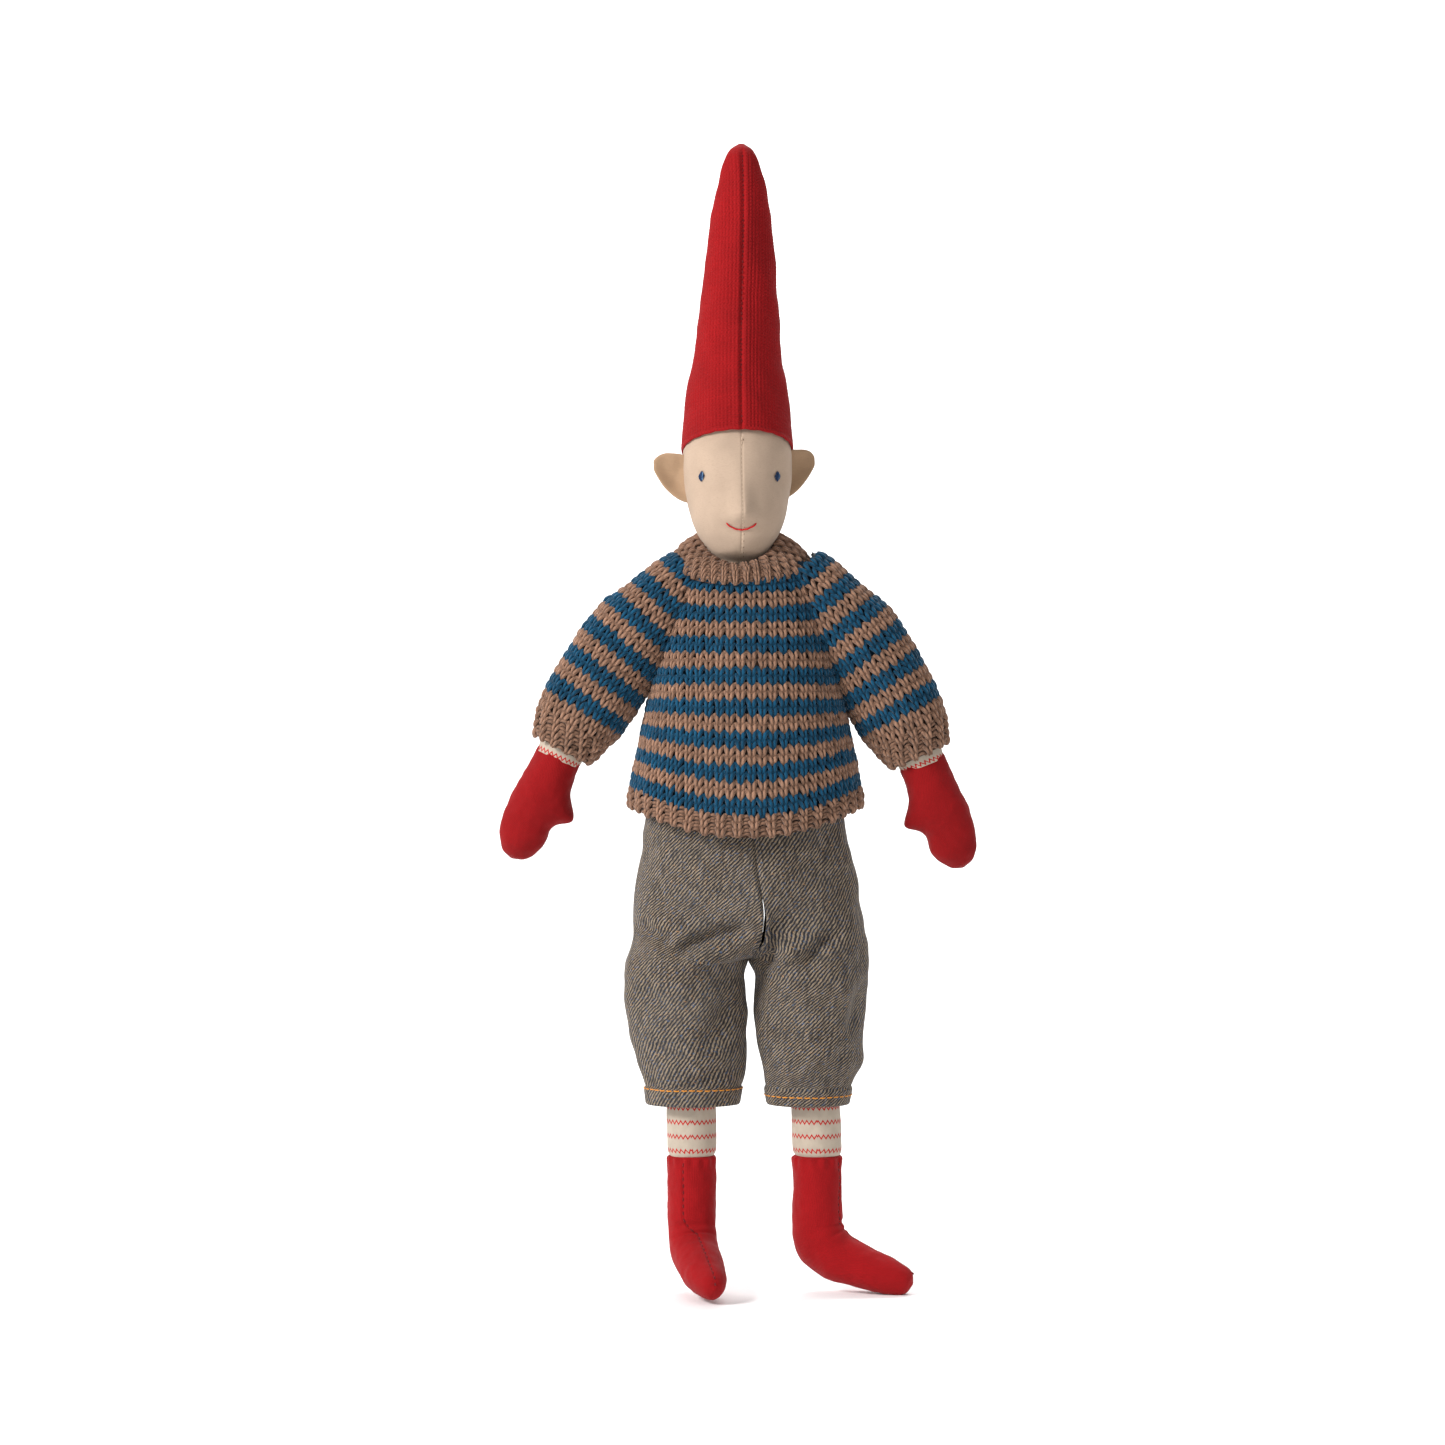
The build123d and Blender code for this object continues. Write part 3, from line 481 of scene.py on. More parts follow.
def twill_cloth():
    """Flecked twill: light diagonals over dark, with stray blue, orange and cream threads."""
    material, tree, shader = cloth("Twill", 0.93, 0.1)
    u, v = cloth_mm(tree)
    place = place_mm(tree)
    dark, light = colours().twill_dark, colours().twill_light
    slope = maths(tree, "SUBTRACT", u, maths(tree, "MULTIPLY", v, 0.95))
    uneven = maths(tree, "MULTIPLY_ADD", speckle(tree, place, 0.6, 3.0), 1.5, slope)
    rib = wave(tree, uneven, 1.75)
    cross = wave(tree, maths(tree, "ADD", u, v), 0.95)
    thread = node(
        tree,
        "ShaderNodeTexNoise",
        {
            "Vector": node(tree, "ShaderNodeCombineXYZ", {0: u, 1: maths(tree, "MULTIPLY", v, 0.16)}).outputs[0],
            "Scale": 0.9,
            "Detail": 2.0,
        },
    ).outputs["Fac"]
    fleck = node(
        tree,
        "ShaderNodeTexNoise",
        {
            "Vector": node(tree, "ShaderNodeCombineXYZ", {0: maths(tree, "MULTIPLY", u, 0.45), 1: v}).outputs[0],
            "Scale": 1.3,
            "Detail": 1.0,
        },
    ).outputs["Fac"]
    share = maths(tree, "MULTIPLY", ranged(tree, rib, 0.3, 0.8), ranged(tree, cross, 0.15, 0.8, 0.55, 1.0))
    share = maths(tree, "MULTIPLY", share, ranged(tree, thread, 0.3, 0.62, 0.35, 1.0))
    patches = ranged(tree, speckle(tree, place, 0.045, 3.0), 0.35, 0.7, 0.0, 0.5)
    base = mixed(tree, patches, dark, shade(60, 62, 66))
    base = mixed(tree, ranged(tree, thread, 0.62, 0.7, 0.0, 0.7), base, shade(52, 66, 92))
    tone = mixed(tree, share, base, light)
    tone = mixed(tree, ranged(tree, fleck, 0.68, 0.74, 0.0, 0.55), tone, shade(176, 128, 84))
    tone = mixed(tree, ranged(tree, fleck, 0.38, 0.3, 0.0, 0.6), tone, shade(70, 92, 122))
    tree.links.new(tone, shader.inputs["Base Color"])
    height = maths(tree, "MULTIPLY_ADD", cross, 0.4, rib)
    tree.links.new(pushed(tree, height, 0.6, 0.22), shader.inputs["Normal"])
    return material


def yarn_fibre(name="Plied Yarn", turns=1.6):
    """Plied yarn in the colour that each stitch carries, with painted shade in the grooves between its plies."""
    material, tree, shader = cloth(name, 0.86, 0.14)
    yarn = node(tree, "ShaderNodeAttribute", attribute_name="yarn").outputs["Color"]
    uv = node(tree, "ShaderNodeUVMap", uv_map="UVMap").outputs[0]
    split = node(tree, "ShaderNodeSeparateXYZ", {0: uv})
    twist = maths(tree, "MULTIPLY_ADD", split.outputs[0], turns, maths(tree, "MULTIPLY", split.outputs[1], 2.0))
    plies = wave(tree, twist, 1.0)
    fibres = speckle(tree, place_mm(tree), 2.2, 3.0)
    # painted shade: the yarn goes darker in the grooves of its twist
    shaded = mixed(tree, ranged(tree, plies, 0.0, 0.8, 0.75, 0.0), yarn, mixed(tree, 1.0, yarn, (0.35,) * 3, "MULTIPLY"))
    tone = mixed(tree, ranged(tree, fibres, 0.45, 0.75, 0.0, 0.3), shaded, mixed(tree, 1.0, yarn, (1.7,) * 3, "MULTIPLY"))
    tree.links.new(tone, shader.inputs["Base Color"])
    height = maths(tree, "MULTIPLY_ADD", fibres, 0.35, plies)
    tree.links.new(pushed(tree, height, 0.6, 0.3), shader.inputs["Normal"])
    return material


def thread_material(name, rgb, roughness=0.55):
    """Smooth sewing or embroidery thread."""
    material, tree, shader = cloth(name, roughness, 0.2)
    fibres = speckle(tree, place_mm(tree), 3.0, 2.0)
    tree.links.new(mixed(tree, fibres, darker(rgb, 0.7), darker(rgb, 1.2)), shader.inputs["Base Color"])
    return material


MATERIALS = {}


def material(name):
    """Makes each material when it is first asked for."""
    if name not in MATERIALS:
        tones = colours()
        makers = {
            "linen": lambda: linen_cloth("Linen", tones.linen),
            "shaded_ear_linen": lambda: linen_cloth("Shaded Ear Linen", tones.shaded_ear_linen),
            "hat": lambda: jersey_cloth("Hat Knit", tones.hat_red, sizes().hat_rib / MM, 0.06),
            "mitten_jersey": lambda: jersey_cloth("Mitten Jersey", tones.mitten_red, 0.75, 0.06),
            "boot_jersey": lambda: jersey_cloth("Boot Jersey", tones.boot_red, 0.75, 0.06),
            "zigzag": zigzag_jersey,
            "twill": twill_cloth,
            "yarn": yarn_fibre,
            "cotton": lambda: jersey_cloth("Body Cotton", tones.jersey_cream, 0.5, 0.1),
            "wadding": lambda: jersey_cloth("Wadding", shade(236, 234, 228), 3.0, 0.1),
            "navy": lambda: thread_material("Navy Thread", tones.navy_thread),
            # painted highlight: a lighter blue thread that stands for a glint in the eyes
            "eye_highlight": lambda: thread_material("Eye Highlight Thread", shade(120, 160, 200)),
            "mouth": lambda: thread_material("Red Thread", shade(186, 28, 30)),
            "orange": lambda: thread_material("Orange Thread", tones.orange_thread, 0.7),
            "linen_thread": lambda: thread_material("Linen Thread", shade(206, 184, 158), 0.8),
            # painted shade: dark dots beside the seam down the face
            "seam_shadow": lambda: thread_material("Seam Shadow", shade(112, 90, 70), 0.8),
            "dark_red_thread": lambda: thread_material("Dark Red Thread", shade(104, 14, 20), 0.8),
            "white_thread": lambda: thread_material("White Thread", shade(225, 220, 210), 0.8),
        }
        MATERIALS[name] = makers[name]()
    return MATERIALS[name]


# ---- stitches, laid by geometry nodes -----------------------------------------------------------
def stitch_tree(name, start, middle, end, mirrored, sides=6, pieces=6):
    """A geometry node group that lays one stitch on every point.

    The stitch's three places are in shares of its width, its height and the thread's radius.
    """
    tree = bpy.data.node_groups.new(name, "GeometryNodeTree")
    face = tree.interface
    face.new_socket("Geometry", in_out="INPUT", socket_type="NodeSocketGeometry")
    for label, value in (("Width", 4.5 * MM), ("Height", 3.4 * MM), ("Thread Radius", MM)):
        socket = face.new_socket(label, in_out="INPUT", socket_type="NodeSocketFloat")
        socket.default_value = value
    face.new_socket("Material", in_out="INPUT", socket_type="NodeSocketMaterial")
    face.new_socket("Geometry", in_out="OUTPUT", socket_type="NodeSocketGeometry")
    given = node(tree, "NodeGroupInput").outputs
    places = {}
    for label, shares in (("Start", start), ("Middle", middle), ("End", end)):
        parts = [
            maths(tree, "MULTIPLY", given[size], share)
            for size, share in zip(("Width", "Height", "Thread Radius"), shares)
        ]
        places[label] = node(tree, "ShaderNodeCombineXYZ", dict(enumerate(parts))).outputs[0]
    path = node(tree, "GeometryNodeCurveQuadraticBezier", {"Resolution": pieces, **places})
    along = node(tree, "GeometryNodeSplineParameter").outputs["Factor"]
    hill = maths(tree, "SINE", maths(tree, "MULTIPLY", along, pi))
    swell = maths(tree, "MULTIPLY_ADD", hill, 0.4, 0.62)
    path = node(tree, "GeometryNodeSetCurveRadius", {"Curve": path.outputs[0], "Radius": swell})
    marked = node(tree, "GeometryNodeCaptureAttribute", {"Geometry": path.outputs[0]})
    marked.capture_items.new("FLOAT", "Along")
    tree.links.new(along, marked.inputs["Along"])
    circle = node(tree, "GeometryNodeCurvePrimitiveCircle", {"Resolution": sides, "Radius": given["Thread Radius"]})
    rounded = node(tree, "GeometryNodeCaptureAttribute", {"Geometry": circle.outputs[0]})
    rounded.capture_items.new("FLOAT", "Round")
    around = node(tree, "GeometryNodeSplineParameter").outputs["Factor"]
    tree.links.new(around, rounded.inputs["Round"])
    strand = node(
        tree,
        "GeometryNodeCurveToMesh",
        {"Curve": marked.outputs[0], "Profile Curve": rounded.outputs[0], "Fill Caps": True},
    )
    uv = node(tree, "ShaderNodeCombineXYZ", {0: marked.outputs["Along"], 1: rounded.outputs["Round"]})
    stored = node(
        tree,
        "GeometryNodeStoreNamedAttribute",
        {"Geometry": strand.outputs[0], "Name": "UVMap", "Value": uv.outputs[0]},
        data_type="FLOAT2",
        domain="CORNER",
    )
    stitch = stored.outputs[0]
    if mirrored:
        other = node(tree, "GeometryNodeTransform", {"Geometry": stitch, "Scale": (-1, 1, 1)})
        turned = node(tree, "GeometryNodeFlipFaces", {"Mesh": other.outputs[0]})
        both = node(tree, "GeometryNodeJoinGeometry")
        tree.links.new(stitch, both.inputs[0])
        tree.links.new(turned.outputs[0], both.inputs[0])
        stitch = both.outputs[0]
    read = {
        key: node(tree, "GeometryNodeInputNamedAttribute", {"Name": key}, data_type="FLOAT_VECTOR").outputs[0]
        for key in ("across", "outward", "size")
    }
    turn = node(
        tree,
        "FunctionNodeAxesToRotation",
        {"Primary Axis": read["outward"], "Secondary Axis": read["across"]},
        primary_axis="Z",
        secondary_axis="X",
    )
    laid = node(
        tree,
        "GeometryNodeInstanceOnPoints",
        {"Points": given["Geometry"], "Instance": stitch, "Rotation": turn.outputs[0], "Scale": read["size"]},
    )
    real = node(tree, "GeometryNodeRealizeInstances", {"Geometry": laid.outputs[0]})
    smoothed = node(tree, "GeometryNodeSetShadeSmooth", {"Geometry": real.outputs[0]})
    finished = node(
        tree, "GeometryNodeSetMaterial", {"Geometry": smoothed.outputs[0], "Material": given["Material"]}
    )
    tree.links.new(finished.outputs[0], node(tree, "NodeGroupOutput").inputs[0])
    return tree


STITCH_SHAPES = {
    "knit": ((0.09, -0.66, -0.75), (0.17, 0.02, 1.35), (0.41, 0.66, -0.75), True),
    "purl": ((-0.55, -0.2, -0.7), (0.0, 0.5, 1.7), (0.55, -0.2, -0.7), False),
    "running": ((-0.5, 0.0, -1.0), (0.0, 0.0, 1.6), (0.5, 0.0, -1.0), False),
}


def lay_stitches(name, shape, spots, width, height, thread, finish):
    """Stitches on points in millimetres, each with its across, outward, size and yarn colour."""
    tree = bpy.data.node_groups.get(shape) or stitch_tree(shape, *STITCH_SHAPES[shape])
    places = np.concatenate(spots["at"])
    piece = new_piece(name, places, [])
    for key in ("across", "outward", "size"):
        held = piece.data.attributes.new(key, "FLOAT_VECTOR", "POINT")
        held.data.foreach_set("vector", np.concatenate(spots[key]).astype(np.float32).ravel())
    held = piece.data.attributes.new("yarn", "FLOAT_COLOR", "POINT")
    tone = np.concatenate(spots["yarn"])
    tone = np.concatenate([tone, np.ones((len(tone), 1))], axis=1)
    held.data.foreach_set("color", tone.astype(np.float32).ravel())
    laid = piece.modifiers.new("Stitches", "NODES")
    laid.node_group = tree
    given = {"Width": width, "Height": height, "Thread Radius": thread, "Material": finish}
    for item in tree.interface.items_tree:
        if item.in_out == "INPUT" and item.name in given:
            laid[item.identifier] = given[item.name]
    make_plain(piece)
    for key in ("across", "outward", "size"):
        extra = piece.data.attributes.get(key)
        if extra:
            piece.data.attributes.remove(extra)
    return piece


def new_spots():
    return {key: [] for key in ("at", "across", "outward", "size", "yarn")}


def add_spots(spots, at, across, outward, yarn, size=1.0, jitter=0.0, rng=None):
    """Adds a run of stitches; jitter makes a hand knitter's small unevenness."""
    count = len(at)
    at, across, outward = np.array(at), unit(np.array(across)), unit(np.array(outward))
    size = np.broadcast_to(np.asarray(size, float), (count, 3)).copy()
    yarn = np.broadcast_to(np.asarray(yarn, float)[..., :3], (count, 3)).copy()
    if jitter:
        at = at + rng.normal(0, 0.16 * jitter, (count, 3))
        across = unit(across + rng.normal(0, 0.05 * jitter, (count, 3)))
        size *= 1 + rng.normal(0, 0.05 * jitter, (count, 3))
        yarn *= 1 + rng.normal(0, 0.09 * jitter, (count, 1))
    for key, value in zip(("at", "across", "outward", "size", "yarn"), (at, across, outward, size, yarn)):
        spots[key].append(value)


def stitch_line(name, path, outward, gap, length, thread, finish):
    """A line of running stitches along a path, one for each gap."""
    path = np.asarray(path, float)
    steps = np.linalg.norm(np.diff(path, axis=0), axis=1)
    along = np.concatenate([[0], np.cumsum(steps)])
    at = np.arange(gap / 2, along[-1], gap)
    places = np.stack([np.interp(at, along, path[:, i]) for i in range(3)], axis=1)
    ahead = np.stack([np.interp(at + 0.2, along, path[:, i]) for i in range(3)], axis=1)
    behind = np.stack([np.interp(at - 0.2, along, path[:, i]) for i in range(3)], axis=1)
    out = np.stack([np.interp(at, along, np.asarray(outward)[:, i]) for i in range(3)], axis=1)
    spots = new_spots()
    add_spots(spots, places, ahead - behind, out, (1, 1, 1))
    return lay_stitches(name, "running", spots, length * MM, MM, thread, finish)


# ---- head and hat -------------------------------------------------------------------------------
HEAD_TURN = 4.5  # degrees the head faces towards +X
# Height, half width, half depth, and how far the middle lies back.
HEAD_SECTIONS = [
    (109, 10.5, 10.5, 0), (113, 11.2, 11.8, -0.6), (117, 12.8, 15.6, -2.6), (121, 15.0, 18.0, -3.1),
    (124.5, 17.0, 19.8, -3.2), (131, 19.8, 22.1, -2.6), (139, 21.6, 23.3, -1.8), (148, 22.8, 23.6, -1.2),
    (157, 23.2, 23.5, -0.6), (166, 22.9, 22.9, 0), (182, 21.4, 21.2, 0.4), (200, 18.5, 18.6, 0.6),
    (220, 16.3, 16.4, 0.4), (240, 14.6, 14.6, 0), (258, 12.4, 12.4, -0.4), (271, 10, 10, -0.6),
    (282, 7.2, 7.2, -0.6), (288, 4.6, 4.6, -0.6), (290.6, 0.9, 0.9, -0.6),
]  # fmt: skip
NOSE_PROFILE = [
    (118, 0), (123, 0.1), (126, 0.6), (128.4, 1.9), (130.6, 4.0), (132.8, 5.2), (135.4, 4.7),
    (138.5, 3.3), (142, 2.0), (146, 1.1), (150, 0.5), (156, 0.1), (160, 0),
]  # fmt: skip
HEAD_COVER_Z = 176.0  # the linen ends here, under the hat


def head_shape(turns, z, grow=0.0):
    """Points on the head's plain form; turns are radians from its front, towards +X."""
    wide, deep, shift = np.moveaxis(smooth(HEAD_SECTIONS, np.ravel(z)), 1, 0)
    wide, deep, shift = (part.reshape(np.shape(z)) for part in (wide, deep, shift))
    lean = 1.6 * ease(z, 185, 275)
    x = (wide + grow) * np.sin(turns)
    y = shift - (deep + grow) * np.cos(turns)
    turn = radians(HEAD_TURN)
    return np.stack(
        [NECK[0] + lean + x * cos(turn) - y * sin(turn), x * sin(turn) + y * cos(turn), z + 0 * x], axis=-1
    )


def face_shape(turns, z):
    """The stuffed linen head: the plain form with its nose, cheeks, seam and sewn-in eyes."""
    turns, z = np.broadcast_arrays(turns, z)
    turns = (turns + pi) % (2 * pi) - pi
    nose = smooth(NOSE_PROFILE, np.ravel(z)).reshape(z.shape)
    wide = 4.0 + 0.06 * np.abs(z - 133) + 0.8 * bump(z, 132, 5)
    reach = smooth(HEAD_SECTIONS, np.ravel(z))[:, 0].reshape(z.shape)
    aside = reach * np.sin(turns)
    front = np.cos(turns) > 0
    out = nose * np.exp(-((aside / wide) ** 2)) * front
    out = out + 1.1 * bump(z, 131, 8) * bump(np.abs(aside), 10.5, 5.5) * front
    out = out - 0.9 * bump(z, 126.2, 2.2) * bump(aside, 0, 6.5) * front
    for eye in (-16.2, 16.2):
        out = out - 0.9 * np.exp(-(((aside - eye) / 3.2) ** 2 + ((z - 148.3) / 4.4) ** 2)) * front
    seam = bump(aside, 0, 0.42) * front * ease(z, 110, 114)
    back_seam = bump(aside, 0, 0.6) * (~front)
    out = out - 0.32 * seam - 0.6 * back_seam
    points = head_shape(turns, z, out)
    return points + 0.35 * wobble(points, 9.0, 3)[..., None] * unit(points * [1, 1, 0] - [NECK[0], 0, 0])


def face_spot(x, z):
    """The place on the front of the head over x, and the way out of it there."""
    turns = np.linspace(-1.45, 1.45, 500)
    line = face_shape(turns, np.full(500, float(z)))
    turn = np.interp(x, line[:, 0], turns)
    near = face_shape(np.array([turn, turn + 0.02, turn - 0.02, turn, turn]),
                      np.array([z, z, z, z + 0.4, z - 0.4]))  # fmt: skip
    out = np.cross(near[1] - near[2], near[3] - near[4])
    return near[0], out / np.linalg.norm(out)


def thread_tubes(name, paths, radius, finish, sides=6):
    """Round threads that follow paths of points, with tapered ends."""
    vertices, faces = [], []
    for path in paths:
        path = np.asarray(path, float)
        count = len(path)
        ahead = unit(np.gradient(path, axis=0))
        side = unit(np.cross(ahead, [0.13, 0.31, 0.94]))
        other = np.cross(ahead, side)
        taper = radius * np.minimum(1, 0.35 + 3.5 * np.sin(np.linspace(0, pi, count)))[:, None, None]
        turns = np.linspace(0, 2 * pi, sides, endpoint=False)[None, :, None]
        ring = path[:, None] + taper * (np.cos(turns) * side[:, None] + np.sin(turns) * other[:, None])
        first = len(vertices)
        vertices.extend(ring.reshape(-1, 3))
        faces.extend((tube_faces(count, sides, True) + first).tolist())
        faces.append([first + i for i in reversed(range(sides))])
        faces.append([first + (count - 1) * sides + i for i in range(sides)])
    piece = new_piece(name, np.array(vertices), faces, [finish])
    face_outwards(piece)
    return piece


def make_head():
    """The linen head with its nose and seams, closed at the neck and under the hat."""
    turns = np.linspace(0, 2 * pi, 300, endpoint=False)
    turns = turns - 0.42 * np.sin(turns)  # finer at the front, where the seam is
    heights = np.concatenate([np.arange(NECK[2] + 0.2, 150, 0.34), np.arange(150, HEAD_COVER_Z, 0.6)])
    points = face_shape(turns[None, :], heights[:, None])
    under = ease(heights, 158, 170)[:, None, None] * 1.6
    middle = points.mean(axis=1, keepdims=True)
    points = points - under * unit((points - middle) * [1, 1, 0])
    head = grid_piece("linen_head", points, material("linen"), caps=(True, True), start=0)
    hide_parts("head_panel_right", "head_panel_left", "head_stuffing")
    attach(head, "head")


def make_face():
    """Embroidered eyes with a painted highlight strand, the mouth, and the stitches of the seam down the face with
    dots of painted shade beside them.
    """
    for side, x in (("right", -16.9), ("left", 14.5)):
        strands = {"navy": [], "eye_highlight": []}
        for i in range(9):
            across = -1.0 + 0.25 * i
            half = 2.35 * (1 - (abs(across) / 1.18) ** 1.7)
            path = []
            for t in np.linspace(-1, 1, 9):
                place, out = face_spot(x + across + 0.12 * t, 148.3 + half * t)
                path.append(place + out * (0.28 + 0.25 * (1 - t * t) + 0.12 * (i % 2)))
            # one lighter blue strand in each eye is a painted highlight
            strands["eye_highlight" if i in (6,) else "navy"].append(path)
        eye = join(
            f"embroidered_eye_{side}",
            [thread_tubes(f"eye_{key}_{side}", paths, 0.2, material(key)) for key, paths in strands.items()],
        )
        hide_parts(f"eye_{side}")
        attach(eye, "head")
    stitches = []
    edges = np.linspace(-6.1, 6.1, 6)
    for a, b in zip(edges[:-1], edges[1:]):
        path = []
        for t in np.linspace(-0.08, 1.08, 8):
            x = a + (b - a) * t
            place, out = face_spot(x - 0.4, 125.7 + 2.6 * (x / 6.1) ** 2)
            path.append(place + out * (0.15 + 0.4 * sin(pi * min(max(t, 0), 1))))
        stitches.append(path)
    mouth = thread_tubes("embroidered_mouth", stitches, 0.36, material("mouth"), 8)
    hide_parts("mouth_stitching")
    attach(mouth, "head")
    heights = np.arange(114, 166, 0.5)
    spots = [face_spot(-0.35 + 0.5 * bump(z, 133, 14), z) for z in heights]
    path = np.array([place - 0.05 * out for place, out in spots])
    outs = np.array([out for _, out in spots])
    thread = sizes().sewing_thread
    light = stitch_line("seam_stitches", path, outs, 1.9, 1.2, 0.8 * thread, material("linen_thread"))
    beside = path + unit(np.cross(outs, [0, 0, 1])) * -0.75
    # painted shade: dark dots beside the seam, where its dent lies in shadow
    dark = stitch_line("seam_shadow_dots", beside, outs, 3.1, 0.5, thread, material("seam_shadow"))
    seam = join("face_seam_stitches", [light, dark])
    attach(seam, "head")


# An ear's outline from its foot round to its top: out from the ear's middle, and up.
EAR_OUTLINE = [
    (-7.5, -11.8), (-4.2, -11.2), (0.5, -8.4), (4.4, -4.2), (7.4, 0.2), (8.9, 3.6), (8.9, 6.2),
    (6.6, 8.8), (3.0, 9.9), (-1.2, 9.6), (-5.6, 8.3), (-8.5, 5.2), (-9.4, 0), (-9.0, -7),
]  # fmt: skip


def make_ears():
    """Stuffed linen ears, cupped towards the front, with a sewn edge."""
    outline = np.array(EAR_OUTLINE, float)
    closed = np.concatenate([outline[-3:], outline, outline[:3]])
    steps = np.arange(len(closed)) - 3.0
    count = 72
    rim = smooth(np.column_stack([steps, closed]), np.linspace(0, len(outline), count, endpoint=False))
    for side in ("right", "left"):
        sign = SIGN[side]
        low, high = (np.array(corner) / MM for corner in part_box(f"ear_{side}"))
        outer_x = -37.8 if sign < 0 else 31.3
        middle = np.array([outer_x - sign * 9.2, (low[1] + high[1]) / 2, 149.4 if sign < 0 else 151.4])
        rings = []
        shares = np.sin(np.linspace(0, pi / 2, 14))
        for face in (-1, 1):
            for share in shares if face < 0 else shares[::-1][1:]:
                flat = rim * share
                swell = 2.0 * np.sqrt(max(0.0, 1 - share**5)) * (1 - 0.25 * (1 - share))
                cup = 3.6 * (1 - share**2) - 1.4
                y = np.full(count, cup + face * swell)
                rings.append(np.column_stack([sign * flat[:, 0], y, flat[:, 1]]))
        points = np.array(rings)
        points[0], points[-1] = points[0].mean(axis=0), points[-1].mean(axis=0)
        turn = radians(HEAD_TURN + sign * 14)
        points[..., 0], points[..., 1] = (
            points[..., 0] * cos(turn) - points[..., 1] * sin(turn),
            points[..., 0] * sin(turn) + points[..., 1] * cos(turn),
        )
        points = points + middle
        points += 0.3 * wobble(points, 5.0, 5 + sign)[..., None]
        # painted shade and painted light: the ears take the darker, warmer linen
        ear = grid_piece(f"linen_ear_{side}", points, material("shaded_ear_linen"))
        shape = bmesh.new()
        shape.from_mesh(ear.data)
        bmesh.ops.remove_doubles(shape, verts=shape.verts, dist=0.02 * MM)
        shape.to_mesh(ear.data)
        shape.free()
        face_outwards(ear)
        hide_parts(f"ear_{side}")
        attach(ear, "head")


HAT_EDGE, HAT_EDGE_RISE = 160.6, 7.2  # the edge is higher in front than behind
HAT_TOP = 291.0
# The rolled edge, from inside to outside: up from the edge, and out from the head.
HAT_ROLL = [(4.0, -0.9), (1.2, -0.8), (0.1, -0.5), (-0.25, 0.0), (-0.1, 0.35), (0.4, 0.65), (1.1, 0.7)]


def make_hat():
    """The tall knitted hat in two panels, each fine rib a real ridge of little stitches."""
    pitch = sizes().hat_rib / MM
    rows = 330
    for side, sign in (("right", -1), ("left", 1)):
        columns = 190
        turns = sign * np.linspace(0, pi, columns)
        edge = HAT_EDGE + HAT_EDGE_RISE * np.cos(turns) + 0.12 * np.sin(23 * turns)
        share = np.linspace(0, 1, rows) ** 0.97
        z = edge[None] + 1.4 + (HAT_TOP - edge - 1.4)[None] * share[:, None]
        z = np.minimum(z, 290.58)
        body = head_shape(turns[None], z, 0.0)
        u = lengths_around(body, False)
        steps = np.linalg.norm(np.diff(body, axis=0), axis=-1)
        v = np.concatenate([np.zeros((1, columns)), np.cumsum(steps, axis=0)])
        fade = 1 - ease(z, 284, 290)
        rib = np.abs(np.cos(pi * u / pitch)) ** 0.8
        chevron = 0.5 + 0.5 * np.sin(2 * pi * (v / 1.5 + 0.45 * np.abs(np.sin(pi * u / pitch))))
        near_front, near_back = u, u[:, -1:] - u
        seam = 0.7 * bump(near_front, 0, 0.6) + 0.7 * bump(near_back, 0, 0.6)
        puff = 0.3 * bump(near_front, 2.0, 1.6)
        soft = (0.9 * wobble(body, 17.0, 11) + 0.4 * wobble(body, 7.0, 12)) * ease(z, 160, 185)
        out = 0.3 + fade * (0.2 * rib + 0.4 * chevron * (0.5 + 0.5 * rib) - 0.25) + (soft + puff - seam) * fade
        out = out + 0.3 * (1 - ease(z, 158, 172))
        body = head_shape(turns[None], z, np.maximum(out, -2.2))
        roll = []
        for up, away in HAT_ROLL:
            ring_z = edge + up
            roll.append(head_shape(turns, ring_z, away - 0.7 * bump(u[0], 0, 0.8)))
        points = np.concatenate([np.array(roll), body])
        if sign < 0:
            points = points[:, ::-1]
        panel = grid_piece(f"knitted_hat_{side}", points, material("hat"), round_closed=False)
        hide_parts(f"hat_panel_{side}")
        if sign < 0:
            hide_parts("hat_stuffing")
        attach(panel, "head")
    heights = np.arange(170, 286, 1.0)
    path = head_shape(np.zeros(len(heights)), heights, 0.1)
    out = unit(path * [1, 1, 0] - [NECK[0], 0, 0])
    seam = stitch_line(
        "hat_seam_stitches", path, out, 2.2, 1.1, sizes().sewing_thread, material("dark_red_thread")
    )
    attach(seam, "head")


# ---- jumper -------------------------------------------------------------------------------------
JUMPER_SECTIONS = [
    (-6, 48.2, 34.2, -1), (-3, 49.2, 34.8, -1), (8, 49.4, 35.0, -1), (35, 45.0, 34.4, -1),
    (54, 41, 32.6, -0.6), (75, 37, 30, 0), (93, 33, 26.2, 0.4), (104, 30, 24, 0.8), (118, 25.4, 21.4, 1),
]  # fmt: skip
STOCKING_Z = (6.2, 105.4)  # the front's first and last stocking stitch edges
ROW_TALL, ROW_SHORT = 3.55, 3.06  # rows get closer together towards the neck
HEM_LIFT = 12.0  # the hem is higher at the sides
NECK_LIFT = 6.5  # the top rows are higher behind


def body_ring(z_front, count=720):
    """The jumper's body, round a row that passes z_front at the front."""
    turns = np.linspace(0, 2 * pi, count, endpoint=False)
    z = z_front + HEM_LIFT * np.sin(turns) ** 2 * (1 - ease(z_front, 0, 62))
    z = z + NECK_LIFT * (1 - np.cos(turns)) * ease(z_front, 60, 106)
    wide, deep, shift = smooth(JUMPER_SECTIONS, z).T
    return np.column_stack([BODY_X + wide * np.sin(turns), shift - deep * np.cos(turns), z])


